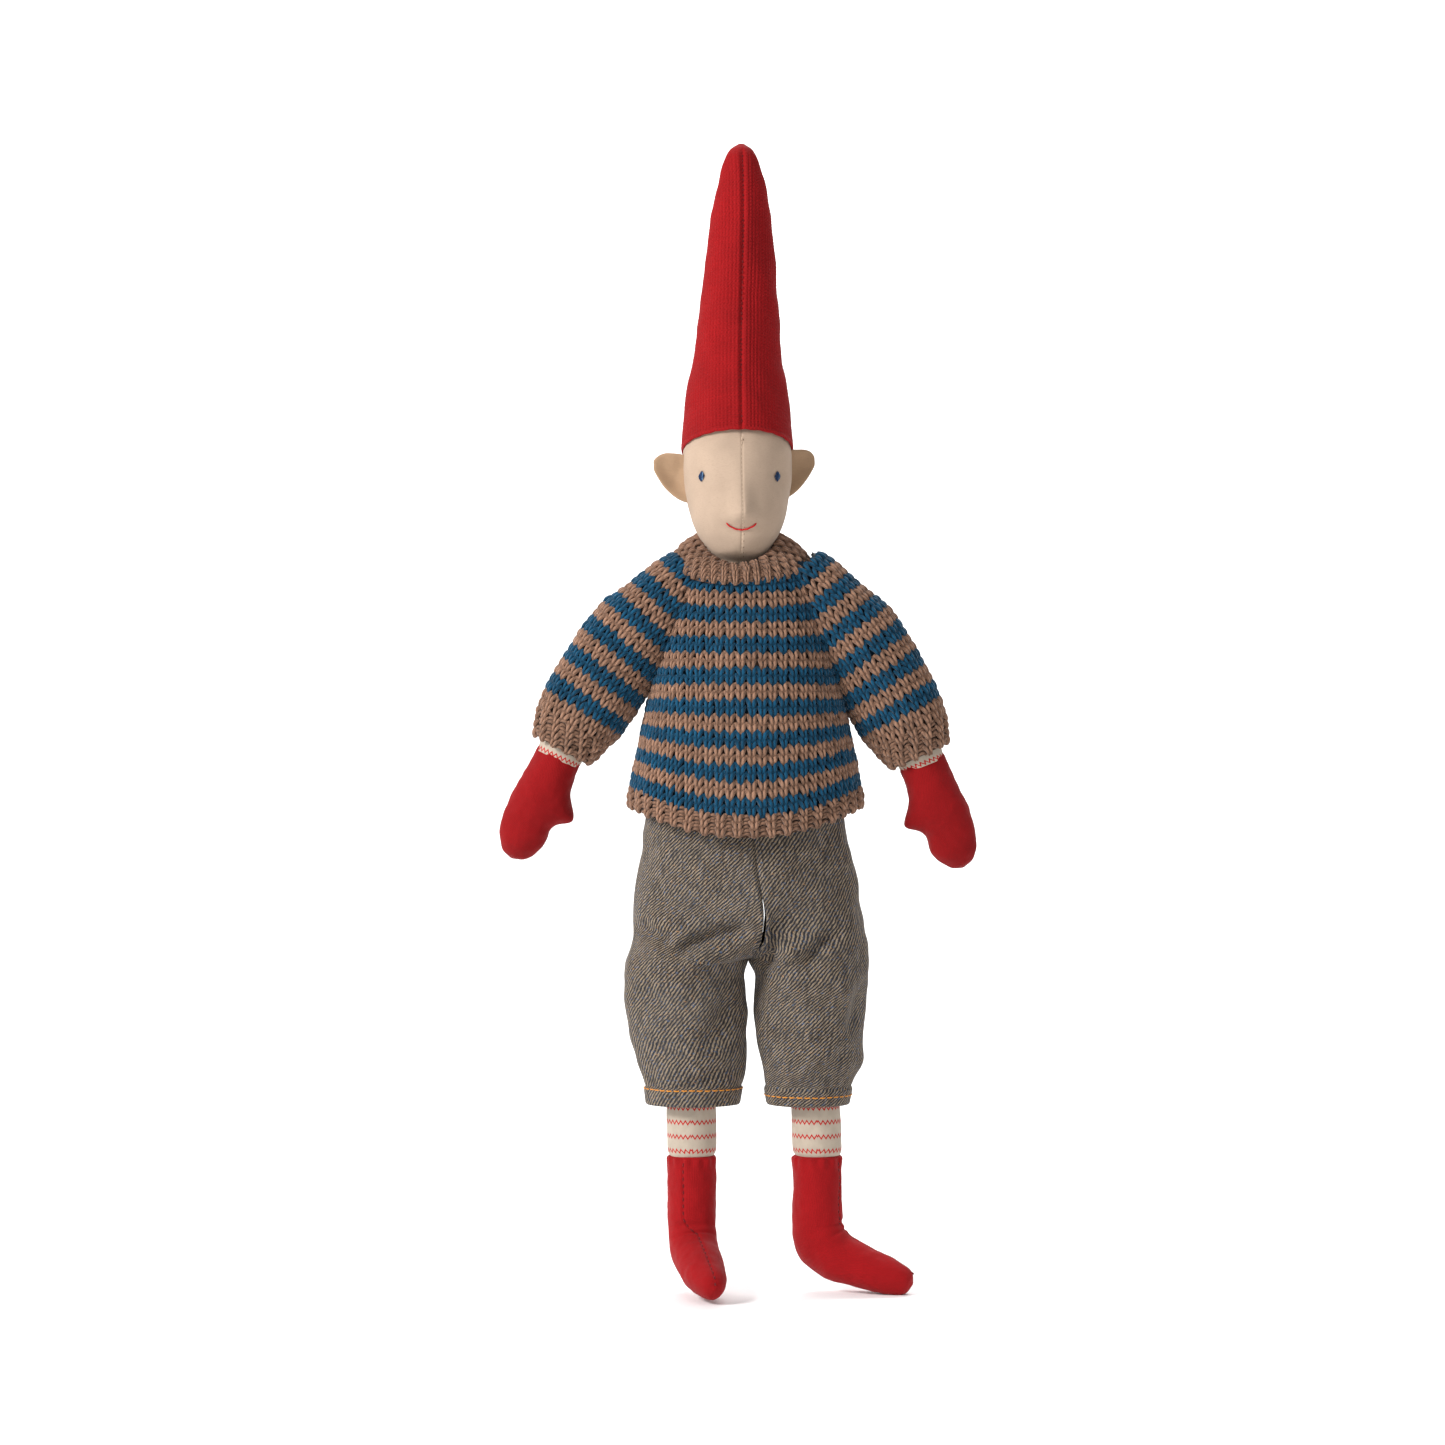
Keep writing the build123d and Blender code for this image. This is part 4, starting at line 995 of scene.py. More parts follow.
# Down a sleeve: across and up from the shoulder, degrees outward from straight down, half width,
# half depth.
SLEEVE_SECTIONS = [
    (-15.0, 15.0, 44, 11.0, 13.6), (-9.0, 8.5, 43, 14.6, 15.4), (3.0, -4.0, 41, 17.2, 16.8),
    (13.0, -13.6, 40, 19.2, 17.0), (22.0, -25.0, 38, 19.0, 16.4), (33.5, -43.0, 33, 18.6, 15.4),
    (39.6, -53.2, 29, 16.6, 14.0), (43.2, -59.6, 29, 14.0, 12.4), (44.7, -62.4, 29, 13.2, 11.8),
]  # fmt: skip
CLOSER = {"right": 0.0, "left": 3.7}  # degrees that an arm hangs closer to the body


def arm_table(sections, side):
    """Sections along an arm in the doll's place: distance, middle, lean and half sizes."""
    turn = radians(CLOSER[side])
    rows, along, last = [], 0.0, None
    for across, up, angle, wide, deep in sections:
        x = across * cos(turn) + up * sin(turn)
        z = up * cos(turn) - across * sin(turn)
        place = SHOULDERS[side] + np.array([SIGN[side] * x, 0, z])
        if last is not None:
            along += float(np.linalg.norm(place - last))
        last = place
        rows.append((along, *place, radians(angle - CLOSER[side]), wide, deep))
    return np.array(rows)


def arm_ring(table, side, along, count=360, grow=0.0):
    """A ring square to the arm; its first point is on the outside, away from the body."""
    row = smooth(table, along)[0]
    middle, lean, wide, deep = row[:3], row[3], row[4] + grow, row[5] + grow
    sign = SIGN[side]
    outer = np.array([sign * cos(lean), 0, sin(lean)])
    turns = sign * np.linspace(0, 2 * pi, count, endpoint=False)[:, None]
    return middle + wide * np.cos(turns) * outer + deep * np.sin(turns) * np.array([0, 1.0, 0])


def knit_ring(spots, low, high, pitch, height, yarn, starts, keep, rng, wide=1.0, lift=0.0, skip=(), jitter=1.0):
    """One row of stitches between two rings, counted both ways from each starting share of the ring."""
    middle = (low + high) / 2
    across = np.roll(middle, -1, axis=0) - np.roll(middle, 1, axis=0)
    outward = unit(np.cross(across, high - low))
    count = len(middle)
    ends = np.concatenate([middle, middle[:1]])
    along = np.concatenate([[0], np.cumsum(np.linalg.norm(np.diff(ends, axis=0), axis=1))])
    whole = along[-1]
    reach = whole / (2 * len(starts))
    at = []
    for start in starts:
        zero = np.interp(start * count, np.arange(count + 1), along)
        for way in (1, -1):
            places = np.arange(pitch / 2, reach + 0.25 * pitch, pitch)
            at.append((zero + way * places) % whole)
    at = np.concatenate(at)
    column = np.interp(at, along, np.arange(count + 1))
    before = np.floor(column).astype(int) % count
    share = (column - np.floor(column))[:, None]
    after = (before + 1) % count
    place = middle[before] * (1 - share) + middle[after] * share + lift * outward[before]
    held = keep(place)
    if not held.any():
        return
    size = np.array([wide * pitch / (sizes().stitch_width / MM), height, 1.0])
    add_spots(spots, place[held], across[before][held], outward[before][held], yarn, size, jitter, rng)


def in_arm(points, side, room):
    """Which points lie inside an arm, or within that room of it."""
    table = arm_table(ARM_SECTIONS, side)
    rows = smooth(table, np.linspace(0, table[-1, 0], 60))
    lean = rows[:, 3]
    down = np.stack([SIGN[side] * np.sin(lean), 0 * lean, -np.cos(lean)], axis=1)
    outer = np.stack([SIGN[side] * np.cos(lean), 0 * lean, np.sin(lean)], axis=1)
    apart = points[:, None] - rows[None, :, :3]
    off = np.abs((apart * down).sum(axis=2))
    nearest = off.argmin(axis=1)
    pick = np.arange(len(points))
    a = (apart[pick, nearest] * outer[nearest]).sum(axis=1) / (rows[nearest, 4] + room)
    b = apart[pick, nearest][:, 1] / (rows[nearest, 5] + room)
    return (a**2 + b**2 < 1) & (off[pick, nearest] < 2.5)


def in_body(points, inset):
    """Which points lie inside the jumper's body."""
    wide, deep, shift = smooth(JUMPER_SECTIONS, points[:, 2]).T
    a = (points[:, 0] - BODY_X) / (wide - inset)
    b = (points[:, 1] - shift) / (deep - inset)
    return a**2 + b**2 < 1


SLEEVE_INSIDE = 9.0  # how far the sleeves run on inside the body


def under_collar(points):
    """Which points of a sleeve lie under the neckband."""
    return (points[:, 2] > 112.5) & (np.abs(points[:, 0] - BODY_X) < 28.5)


def stripe(row):
    """The yarn of a row: two rows of blue, then two of brown."""
    tones = colours()
    return np.array(tones.blue_yarn if row // 2 % 2 == 0 else tones.brown_yarn)


def row_edges():
    """The front heights of the jumper's stocking stitch rows."""
    count = sizes().body_rows
    heights = np.linspace(ROW_TALL, ROW_SHORT, count)
    edges = STOCKING_Z[0] + np.concatenate([[0], np.cumsum(heights)])
    return STOCKING_Z[0] + (edges - STOCKING_Z[0]) * (STOCKING_Z[1] - STOCKING_Z[0]) / (
        edges[-1] - STOCKING_Z[0]
    )


def shade_sheet_piece(name, rings, stripes, flip=False, keep=None):
    """A sheet under the knitting in its stripe colours darkened to 0.3: painted shade that shows between the stitches.
    """
    points = np.array(rings)
    if flip:
        points = points[::-1]
        stripes = stripes[::-1]
    piece = grid_piece(name, points, material("yarn"), keep=keep)
    # painted shade: the stripe colours darkened to 0.3
    tone = np.repeat(np.array(stripes) * 0.3, points.shape[1], axis=0)
    place = np.empty(len(piece.data.vertices) * 3)
    piece.data.vertices.foreach_get("co", place)
    place = place.reshape(-1, 3) / MM
    flat = points.reshape(-1, 3)
    order = {tuple(p): i for i, p in enumerate(np.round(flat, 2).tolist())}
    picked = [order.get(tuple(p), 0) for p in np.round(place, 2).tolist()]
    held = piece.data.attributes.new("yarn", "FLOAT_COLOR", "POINT")
    full = np.concatenate([tone[picked], np.ones((len(picked), 1))], axis=1)
    held.data.foreach_set("color", full.astype(np.float32).ravel())
    return piece


ROW_BASE = 3.4  # the row height that a stitch has at size 1


def all_kept(place):
    return np.ones(len(place), bool)


def knit_piece(name, spots, shape="knit"):
    return lay_stitches(
        name, shape, spots, sizes().stitch_width, ROW_BASE * MM, sizes().yarn_radius, material("yarn")
    )


def make_jumper_body():
    """The striped body, knitted stitch by stitch, front and back, over a sheet of painted shade."""
    rng = np.random.default_rng(7)
    edges = row_edges()
    halves = {"front": new_spots(), "back": new_spots()}
    for row, (low, high) in enumerate(zip(edges[:-1], edges[1:])):
        rings = body_ring(low), body_ring(high)
        for name, spots in halves.items():

            def keep(place):
                front = place[:, 1] < 0 if name == "front" else place[:, 1] >= 0
                hidden = in_arm(place, "right", 1.4) | in_arm(place, "left", 1.4)
                return front & ~hidden

            height = (high - low) / ROW_BASE
            knit_ring(spots, *rings, sizes().stitch_width / MM, height, stripe(row), (0, 0.5), keep, rng)
    for name, spots in halves.items():
        panel = knit_piece(f"knitted_jumper_{name}", spots)
        rows = np.linspace(STOCKING_Z[0] - 1, STOCKING_Z[1] + 1, 61)
        rings = []
        for z in rows:
            ring = body_ring(z, 180)
            middle = np.array([BODY_X, 0, 0])
            rings.append(ring - 1.3 * unit((ring - middle) * [1, 1, 0]))
        rings = np.array(rings)
        flat_y = rings[:-1, :, 1].ravel()
        hidden = in_arm(rings[:-1].reshape(-1, 3), "right", 0.6)
        hidden |= in_arm(rings[:-1].reshape(-1, 3), "left", 0.6)
        kept = ((flat_y < 0) if name == "front" else (flat_y >= 0)) & ~hidden
        tones = [stripe(int(np.clip(np.searchsorted(edges, z) - 1, 0, len(edges) - 2))) for z in rows]
        # a sheet of painted shade under the knitting
        ground = shade_sheet_piece(f"jumper_{name}_ground", rings, tones, keep=kept)
        for piece in (panel, ground):
            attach(piece, "torso")
        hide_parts(f"jumper_{name}")


def rib_band(name, rings_of, edges, pair, yarn, starts, rng):
    """A ribbed band: raised columns of knit stitches between sunken columns of purl bumps."""
    knits, purls = new_spots(), new_spots()
    for low, high in zip(edges[:-1], edges[1:]):
        rings = rings_of(low), rings_of(high)
        tall = np.linalg.norm(rings[1] - rings[0], axis=1).mean() / ROW_BASE
        knit_ring(knits, *rings, pair, tall, yarn, starts, all_kept, rng, wide=0.62, lift=0.35)
        knit_gaps(purls, *rings, pair, tall, yarn, starts, rng)
    return join(name, [knit_piece(f"{name}_knit", knits), knit_piece(f"{name}_purl", purls, "purl")])


def knit_gaps(spots, low, high, pair, tall, yarn, starts, rng):
    """Purl bumps halfway between the knit columns of a rib, their yarn darkened as painted shade in the sunken
    columns.
    """
    middle = (low + high) / 2
    across = np.roll(middle, -1, axis=0) - np.roll(middle, 1, axis=0)
    outward = unit(np.cross(across, high - low))
    count = len(middle)
    ends = np.concatenate([middle, middle[:1]])
    along = np.concatenate([[0], np.cumsum(np.linalg.norm(np.diff(ends, axis=0), axis=1))])
    reach = along[-1] / (2 * len(starts))
    at = []
    for start in starts:
        zero = np.interp(start * count, np.arange(count + 1), along)
        at.append(np.array([zero]))
        for way in (1, -1):
            at.append(zero + way * np.arange(pair, reach + 0.2 * pair, pair))
    at = np.concatenate(at) % along[-1]
    before = np.interp(at, along, np.arange(count + 1)).astype(int) % count
    place = middle[before] - 0.75 * outward[before]
    size = np.array([0.55 * pair / (sizes().stitch_width / MM), tall, 0.95])
    for half in (-0.25, 0.25):
        shift = half * (high - low)[before]
        # painted shade: the sunken purl bumps take their yarn at 0.8
        add_spots(
            spots, place + shift, across[before], outward[before], np.array(yarn) * 0.8, size, 1.0, rng
        )  # fmt: skip


# The neckband's foot and its rim: middle across, half width, front y, back y, and the heights of
# its front, sides and back.
NECKBAND_FOOT = (-0.6, 30.0, -24.6, 24.0, 103.6, 112.0, 117.0)
NECKBAND_RIM = (-1.3, 16.6, -17.8, 17.8, 111.0, 124.0, 128.0)


def neckband_edge(turns, edge):
    """One edge of the neckband."""
    middle, wide, front, back, low, sides, high = edge
    ahead, behind = np.maximum(np.cos(turns), 0), np.maximum(-np.cos(turns), 0)
    z = sides + (low - sides) * ahead**1.25 + (high - sides) * behind
    return np.column_stack([middle + wide * np.sin(turns), front * ahead + back * behind, z])


def neckband_ring(share, count=480):
    """A ring round the neckband, from its foot, 0, to its rim, 1."""
    turns = np.linspace(0, 2 * pi, count, endpoint=False)
    foot, rim = neckband_edge(turns, NECKBAND_FOOT), neckband_edge(turns, NECKBAND_RIM)
    ring = foot * (1 - share) + rim * share
    outward = unit((foot - rim) * [1, 1, 0]) * 0.7 + [0, 0, 0.7]
    return ring + 2.0 * sin(pi * min(max(share, 0.0), 1.0)) * outward


def make_neckband():
    """The ribbed neckband."""
    rng = np.random.default_rng(11)
    edges = np.linspace(0, 1, 6)
    brown = np.array(colours().brown_yarn)
    band = rib_band("knitted_neckband", neckband_ring, edges, 4.6, brown, (0,), rng)
    rings = []
    for share in np.linspace(-0.02, 1, 12):
        ring = neckband_ring(share, 180)
        rings.append(ring - 1.3 * unit((ring - [0, 0, 118]) * [1, 1, 0]) - [0, 0, 1.3])
    # a sheet of painted shade under the knitting
    ground = shade_sheet_piece("neckband_shade_sheet", rings, [brown] * 12)
    for piece in (band, ground):
        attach(piece, "torso")
    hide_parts("jumper_neckband")


def make_hem_band():
    """The ribbed band at the jumper's foot."""
    rng = np.random.default_rng(12)
    brown = np.array(colours().brown_yarn)
    edges = np.linspace(-2.4, 6.4, 4)

    def hem_ring(z, count=720):
        ring = body_ring(z, count)
        return ring

    band = rib_band("knitted_hem_band", hem_ring, edges, 7.0, brown, (0,), rng)
    rings = []
    for z in np.linspace(-2.8, 6.6, 10):
        ring = hem_ring(z, 180)
        rings.append(ring - 1.9 * unit((ring - [BODY_X, 0, 0]) * [1, 1, 0]))
    # a sheet of painted shade under the knitting
    ground = shade_sheet_piece("hem_band_shade_sheet", rings, [brown] * 10)
    for piece in (band, ground):
        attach(piece, "torso")
    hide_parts("jumper_hem_band")


SLEEVE_SPLIT = 40.0  # along the sleeve, where its upper piece gives way to its lower one
CUFF_START = 88.0  # placeholder until the sleeve's own length is known


def sleeve_up(low_ring, high_ring, side):
    """Rings in the order that makes the way up the sleeve, seen from outside, up."""
    return low_ring, high_ring


def make_sleeves():
    """Striped sleeves and ribbed cuffs."""
    for side in ("right", "left"):
        rng = np.random.default_rng(21 if side == "right" else 22)
        table = arm_table(SLEEVE_SECTIONS, side)
        total = table[-1, 0]
        cuff_top = total - 11.6
        top = 4.0
        count = int(round((cuff_top - top) / (sizes().sleeve_row / MM)))
        edges = np.linspace(top, cuff_top, count + 1)
        upper, lower = new_spots(), new_spots()
        split = edges[9]

        def keep(place):
            return ~in_body(place, SLEEVE_INSIDE) & ~under_collar(place)

        for row in range(count):
            rings = arm_ring(table, side, edges[row + 1]), arm_ring(table, side, edges[row])
            spots = upper if edges[row] < split else lower
            tone = stripe(29 - row) if row < 30 else stripe(row)
            height = (edges[1] - edges[0]) / ROW_BASE
            knit_ring(spots, *rings, 4.4, height, tone, (0,), keep, rng)
        brown = np.array(colours().brown_yarn)
        cuff_edges = np.linspace(total, cuff_top, 5)
        cuff = rib_band(
            f"knitted_cuff_{side}", lambda s: arm_ring(table, side, s), cuff_edges, 6.6, brown, (0,), rng
        )
        place_at = lambda s: smooth(table, s)[0][:3]
        pieces = {}
        for part, spots, low, high in (("upper", upper, 0.0, split), ("lower", lower, split, cuff_top + 1)):
            knitted = knit_piece(f"knitted_sleeve_{part}_{side}", spots)
            rows = np.linspace(low, high, 40)
            rings = [arm_ring(table, side, s, 120, -1.3) for s in rows]
            tones = []
            for s in rows:
                row = int(np.clip(np.searchsorted(edges, s) - 1, 0, count - 1))
                tones.append(stripe(29 - row))
            flat = np.array(rings)[::-1]
            flat = flat[:-1].reshape(-1, 3)
            kept = ~in_body(flat, SLEEVE_INSIDE + 2) & ~under_collar(flat)
            # a sheet of painted shade under the knitting
            ground = shade_sheet_piece(f"sleeve_{part}_ground_{side}", rings, tones, flip=True, keep=kept)
            pieces[part] = (knitted, ground)
        rings = [arm_ring(table, side, s, 120, -1.9) for s in np.linspace(cuff_top - 0.5, total, 12)]
        # a sheet of painted shade under the knitting
        ground = shade_sheet_piece(f"cuff_ground_{side}", rings, [brown] * 12, flip=True)
        for piece in (cuff, ground):
            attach(piece, f"arm_{side}")
        start = place_at(2.0)
        middle = place_at(split * 0.5)
        bend_a = (start * MM).tolist(), (middle * MM).tolist()
        bend_b = (place_at(split * 0.5) * MM).tolist(), (place_at(split + 6) * MM).tolist()
        for piece in pieces["upper"]:
            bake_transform(piece)
        for piece in pieces["lower"]:
            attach(piece, f"arm_{side}")
        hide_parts(f"sleeve_{side}")
        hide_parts(f"cuff_{side}")


# ---- breeches -----------------------------------------------------------------------------------
# Down each half: height, middle, half width, half depth of the leg.
TROUSER_SECTIONS = {
    "right": [
        (14, -22.0, 22.0, 26.0), (-20, -22.0, 23.0, 25.5), (-45, -23.0, 23.6, 25.2), (-58, -24.4, 24.9, 24.6),
        (-72, -24.1, 25.6, 23.8), (-97, -21.2, 23.4, 21.2), (-110, -20.7, 20.4, 18.2), (-117.2, -20.9, 19.2, 16.8),
    ],
    "left": [
        (14, 26.0, 22.0, 26.0), (-20, 27.0, 23.0, 25.5), (-45, 29.0, 24.4, 25.2), (-58, 29.6, 24.4, 24.6),
        (-72, 29.2, 24.0, 23.8), (-97, 29.2, 22.0, 21.2), (-110, 28.0, 18.2, 17.6), (-117.2, 28.0, 16.8, 16.2),
    ],
}  # fmt: skip
# Down the seat: height, middle, half width, half depth.
SEAT_SECTIONS = [(14, 1.5, 41, 27.4), (-4, 1.5, 43.7, 27.6), (-25, 1.6, 46.8, 28.2), (-47, 2.6, 49.6, 28.6), (-60, 3, 51, 28)]
CROTCH = (2.6, -54.4)  # across and up
SEAM_LINE = [(14, 3.6), (-5, 4.9), (-20, 6.9), (-37, 9.4), (-46, 8.6), (-51, 5.6), (-54.4, 2.6)]
FOLD_DEPTH = 1.8  # how much deeper than listed all folds are
# Folds on the front: from (x, z) to (x, z), width, and height out (+) or in (-).
FOLDS = [
    ((-28, -51), (1, -42), 3.4, -3.0), ((-27, -58), (0, -50), 3.8, 1.8), ((-40, -28), (-8, -36), 4.5, -1.1),
    ((-46, -40), (-30, -50), 3.6, -1.6), ((-44, -70), (-26, -82), 4.4, -1.3), ((-4, -68), (-16, -92), 4.6, -1.4),
    ((-40, -92), (-20, -100), 3.6, -1.2), ((-36, -80), (-12, -76), 4.0, 0.9), ((-10, -100), (-24, -108), 3.0, -0.9),
    ((26, -55), (41, -43.5), 3.2, -2.6), ((14, -58), (33, -47), 3.4, 1.5), ((8, -50), (20, -34), 3.8, -1.8),
    ((49, -66), (46, -84), 3.4, -1.8), ((16, -74), (30, -66), 4.0, -1.2), ((12, -84), (26, -96), 4.2, -1.2),
    ((44, -92), (30, -102), 3.4, -1.2), ((36, -62), (44, -70), 3.4, 1.0), ((18, -102), (34, -108), 3.0, 0.8),
    ((20, -14), (44, -24), 4.6, -1.0), ((-34, -8), (-12, -16), 4.6, 0.8), ((13, -42), (9, -58), 3.0, -1.6),
]  # fmt: skip
# The same on the back.
BACK_FOLDS = [
    ((-32, -50), (-2, -46), 3.6, -2.6), ((8, -46), (38, -52), 3.6, -2.6), ((-36, -58), (-4, -54), 3.6, 1.4),
    ((10, -54), (42, -60), 3.6, 1.4), ((-38, -78), (-16, -86), 4.2, -1.3), ((18, -84), (42, -76), 4.2, -1.3),
    ((-30, -98), (-12, -92), 3.6, -1.0), ((20, -98), (40, -102), 3.6, -1.0), ((-30, -22), (-8, -30), 4.4, -1.0),
]  # fmt: skip


def fold_height(points, folds, front):
    """How far the listed folds push each point out."""
    x, z = points[..., 0], points[..., 2]
    out = np.zeros(x.shape)
    for (ax, az), (bx, bz), wide, high in folds:
        along = np.array([bx - ax, bz - az], float)
        long = np.linalg.norm(along)
        along /= long
        t = (x - ax) * along[0] + (z - az) * along[1]
        off = (x - ax) * -along[1] + (z - az) * along[0]
        bow = 1.6 * np.sin(pi * np.clip(t / long, 0, 1))
        ends = ease(t, -4, 6) * ease(t, long + 4, long - 6)
        out += FOLD_DEPTH * high * ends * np.exp(-(((off - bow) / wide) ** 2))
    side = points[..., 1] < 0 if front else points[..., 1] >= 0
    return out * side * ease(np.abs(points[..., 1]), 0, 8)


def trouser_half(side):
    """Points down one half: an open panel from centre front to centre back, then a closed leg."""
    sign = SIGN[side]
    columns = 221
    heights = np.concatenate(
        [np.arange(13.0, -40, -0.9), np.arange(-40, -54.3, -0.42), [CROTCH[1]], np.arange(-55.1, -117.3, -0.7)]
    )
    share = np.linspace(0, 1, columns)
    share = share + 0.09 * np.sin(2 * pi * share) / (2 * pi)
    rows = []
    for z in heights:
        middle, wide, deep = smooth(TROUSER_SECTIONS[side], z)[0]
        turns = 2 * pi * share
        ring_x = middle - sign * wide * np.cos(turns)
        ring_y = -deep * np.sin(turns)
        if z >= CROTCH[1]:
            seat_middle, seat_wide, seat_deep = smooth(SEAT_SECTIONS, z)[0]
            seam_x = smooth(SEAM_LINE, z)[0][0]
            inset = np.arcsin(np.clip((seam_x - seat_middle) / seat_wide, -1, 1)) * sign
            half_turns = inset + (pi - 2 * inset) * share
            seat_x = seat_middle + sign * seat_wide * np.sin(half_turns)
            seat_y = -seat_deep * np.cos(half_turns)
            blend = float(ease(z, -22, -58))
            x = (1 - blend) * seat_x + blend * ring_x
            y = (1 - blend) * seat_y + blend * ring_y
            fall = max(0.0, min(1.0, (-26.0 - z) / (-26.0 - CROTCH[1])))
            seam_y = seat_deep * (1 - fall**2.6) ** (1 / 2.2)
            hold_front = np.exp(-((share / 0.11) ** 2))
            hold_back = np.exp(-(((1 - share) / 0.11) ** 2))
            x = x + hold_front * (seam_x - x[0]) + hold_back * (seam_x - x[-1])
            y = y + hold_front * (-seam_y - y[0]) + hold_back * (seam_y - y[-1])
        else:
            gone = float(ease(z, CROTCH[1], CROTCH[1] - 9))
            pull = np.exp(-((np.minimum(share, 1 - share) / 0.11) ** 2)) * (1 - gone)
            x = ring_x + pull * (CROTCH[0] - ring_x[0])
            y = ring_y
        rows.append(np.column_stack([x, y, np.full(columns, z)]))
    points = np.array(rows)
    around = np.gradient(points, axis=1)
    down = np.gradient(points, axis=0)
    outward = unit(np.cross(around, down)) * -sign
    outward *= np.sign((outward * (points - np.array([smooth(TROUSER_SECTIONS[side], 0)[0][0], 0, 0])) * [1, 1, 0]).sum(axis=-1, keepdims=True).mean())
    out = fold_height(points, FOLDS, True) + fold_height(points, BACK_FOLDS, False)
    fade = ease(points[..., 2], 10, -4) * ease(points[..., 2], -117, -106)
    out = (out + 1.7 * wobble(points, 21.0, 31 + sign) + 0.8 * wobble(points, 9.0, 33)) * (0.25 + 0.75 * fade)
    seam = np.minimum(share, 1 - share)[None]
    above = points[..., 2] >= CROTCH[1]
    out = out * np.where(above, ease(seam, 0, 0.035), 1.0)
    out = out - 0.9 * np.where(above, bump(seam, 0, 0.006), 0)
    out = out + 0.55 * bump(seam, 0.014, 0.009) * above
    hem = points[..., 2]
    out = out + 0.7 * ease(hem, -108.4, -109.6) - 0.5 * bump(hem, -109, 0.7)
    out = out - 1.0 * ease(hem, -116.2, -117.4)
    return points + out[..., None] * outward, outward


def trouser_path(points, outward, height, lift):
    """A level line round one half, just off its cloth."""
    row = int(np.abs(points[:, 0, 2] - height).argmin())
    return points[row] + lift * outward[row], outward[row]


def make_breeches():
    """The twill breeches, a left and a right half that each run from the seat down their leg."""
    for side in ("right", "left"):
        sign = SIGN[side]
        points, outward = trouser_half(side)
        grid = points[::-1] if sign > 0 else points[::-1, ::-1]
        inner = grid[:7] - 1.6 * (outward[::-1] if sign > 0 else outward[::-1, ::-1])[:7]
        inner[..., 2] = grid[:7, :, 2] + 0.4
        turned = np.concatenate([inner[::-1], grid])
        half = grid_piece(
            f"twill_breeches_{side}", turned, material("twill"), round_closed=False, start=turned.shape[1] // 2
        )
        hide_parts(f"breeches_leg_{side}", f"breeches_hem_{side}")
        line = 7.5 if side == "right" else 4.8
        path, out = trouser_path(points, outward, -117.2 + line, 0.12)
        stitches = stitch_line(
            f"hem_topstitching_{side}", path, out, 3.3, 2.3, 1.4 * sizes().sewing_thread, material("orange")
        )
        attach(stitches, f"leg_{side}")
        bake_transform(half)
        if side == "right":
            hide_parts("breeches_front")
        else:
            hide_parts("breeches_back", "breeches_crotch")


# ---- arms and mittens ---------------------------------------------------------------------------
# Down the arm under the sleeve: across and up from the shoulder, lean, half width, half depth.
ARM_SECTIONS = [
    (-4, 5, 40, 8, 9), (3, -4, 40, 11, 11), (10, -10, 41, 11.8, 11), (21, -23.4, 38, 12, 10.6),
    (33.5, -43, 33, 11.4, 10.2), (40.3, -55, 27, 10.6, 9.6), (46.4, -66.6, 25, 9.6, 8.7), (48.6, -71.3, 25, 8.6, 7.8),
]  # fmt: skip
# Down the mitten: distance from the wrist, half width, half depth.
MITTEN_SECTIONS = [
    (-3, 8.8, 7.8), (-2.2, 9.7, 8.7), (3, 10.0, 9.0), (12, 10.9, 9.3), (22, 11.5, 9.1), (30, 11.2, 8.4),
    (36, 10.2, 7.4), (40, 8.7, 6.3), (43, 6.6, 4.8), (45, 4.4, 3.2), (46.3, 0.6, 0.5),
]  # fmt: skip


def make_arms():
    """Stuffed arms in zigzag jersey, of which only the wrists show."""
    for side in ("right", "left"):
        table = arm_table(ARM_SECTIONS, side)
        rings = [arm_ring(table, side, s, 96) for s in np.linspace(table[-2, 0], 0, 60)]
        points = np.array(rings)
        arm = grid_piece(f"jersey_arm_{side}", points, material("zigzag"), caps=(True, True), start=0)
        face_outwards(arm)
        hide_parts(f"arm_{side}")
        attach(arm, f"arm_{side}")


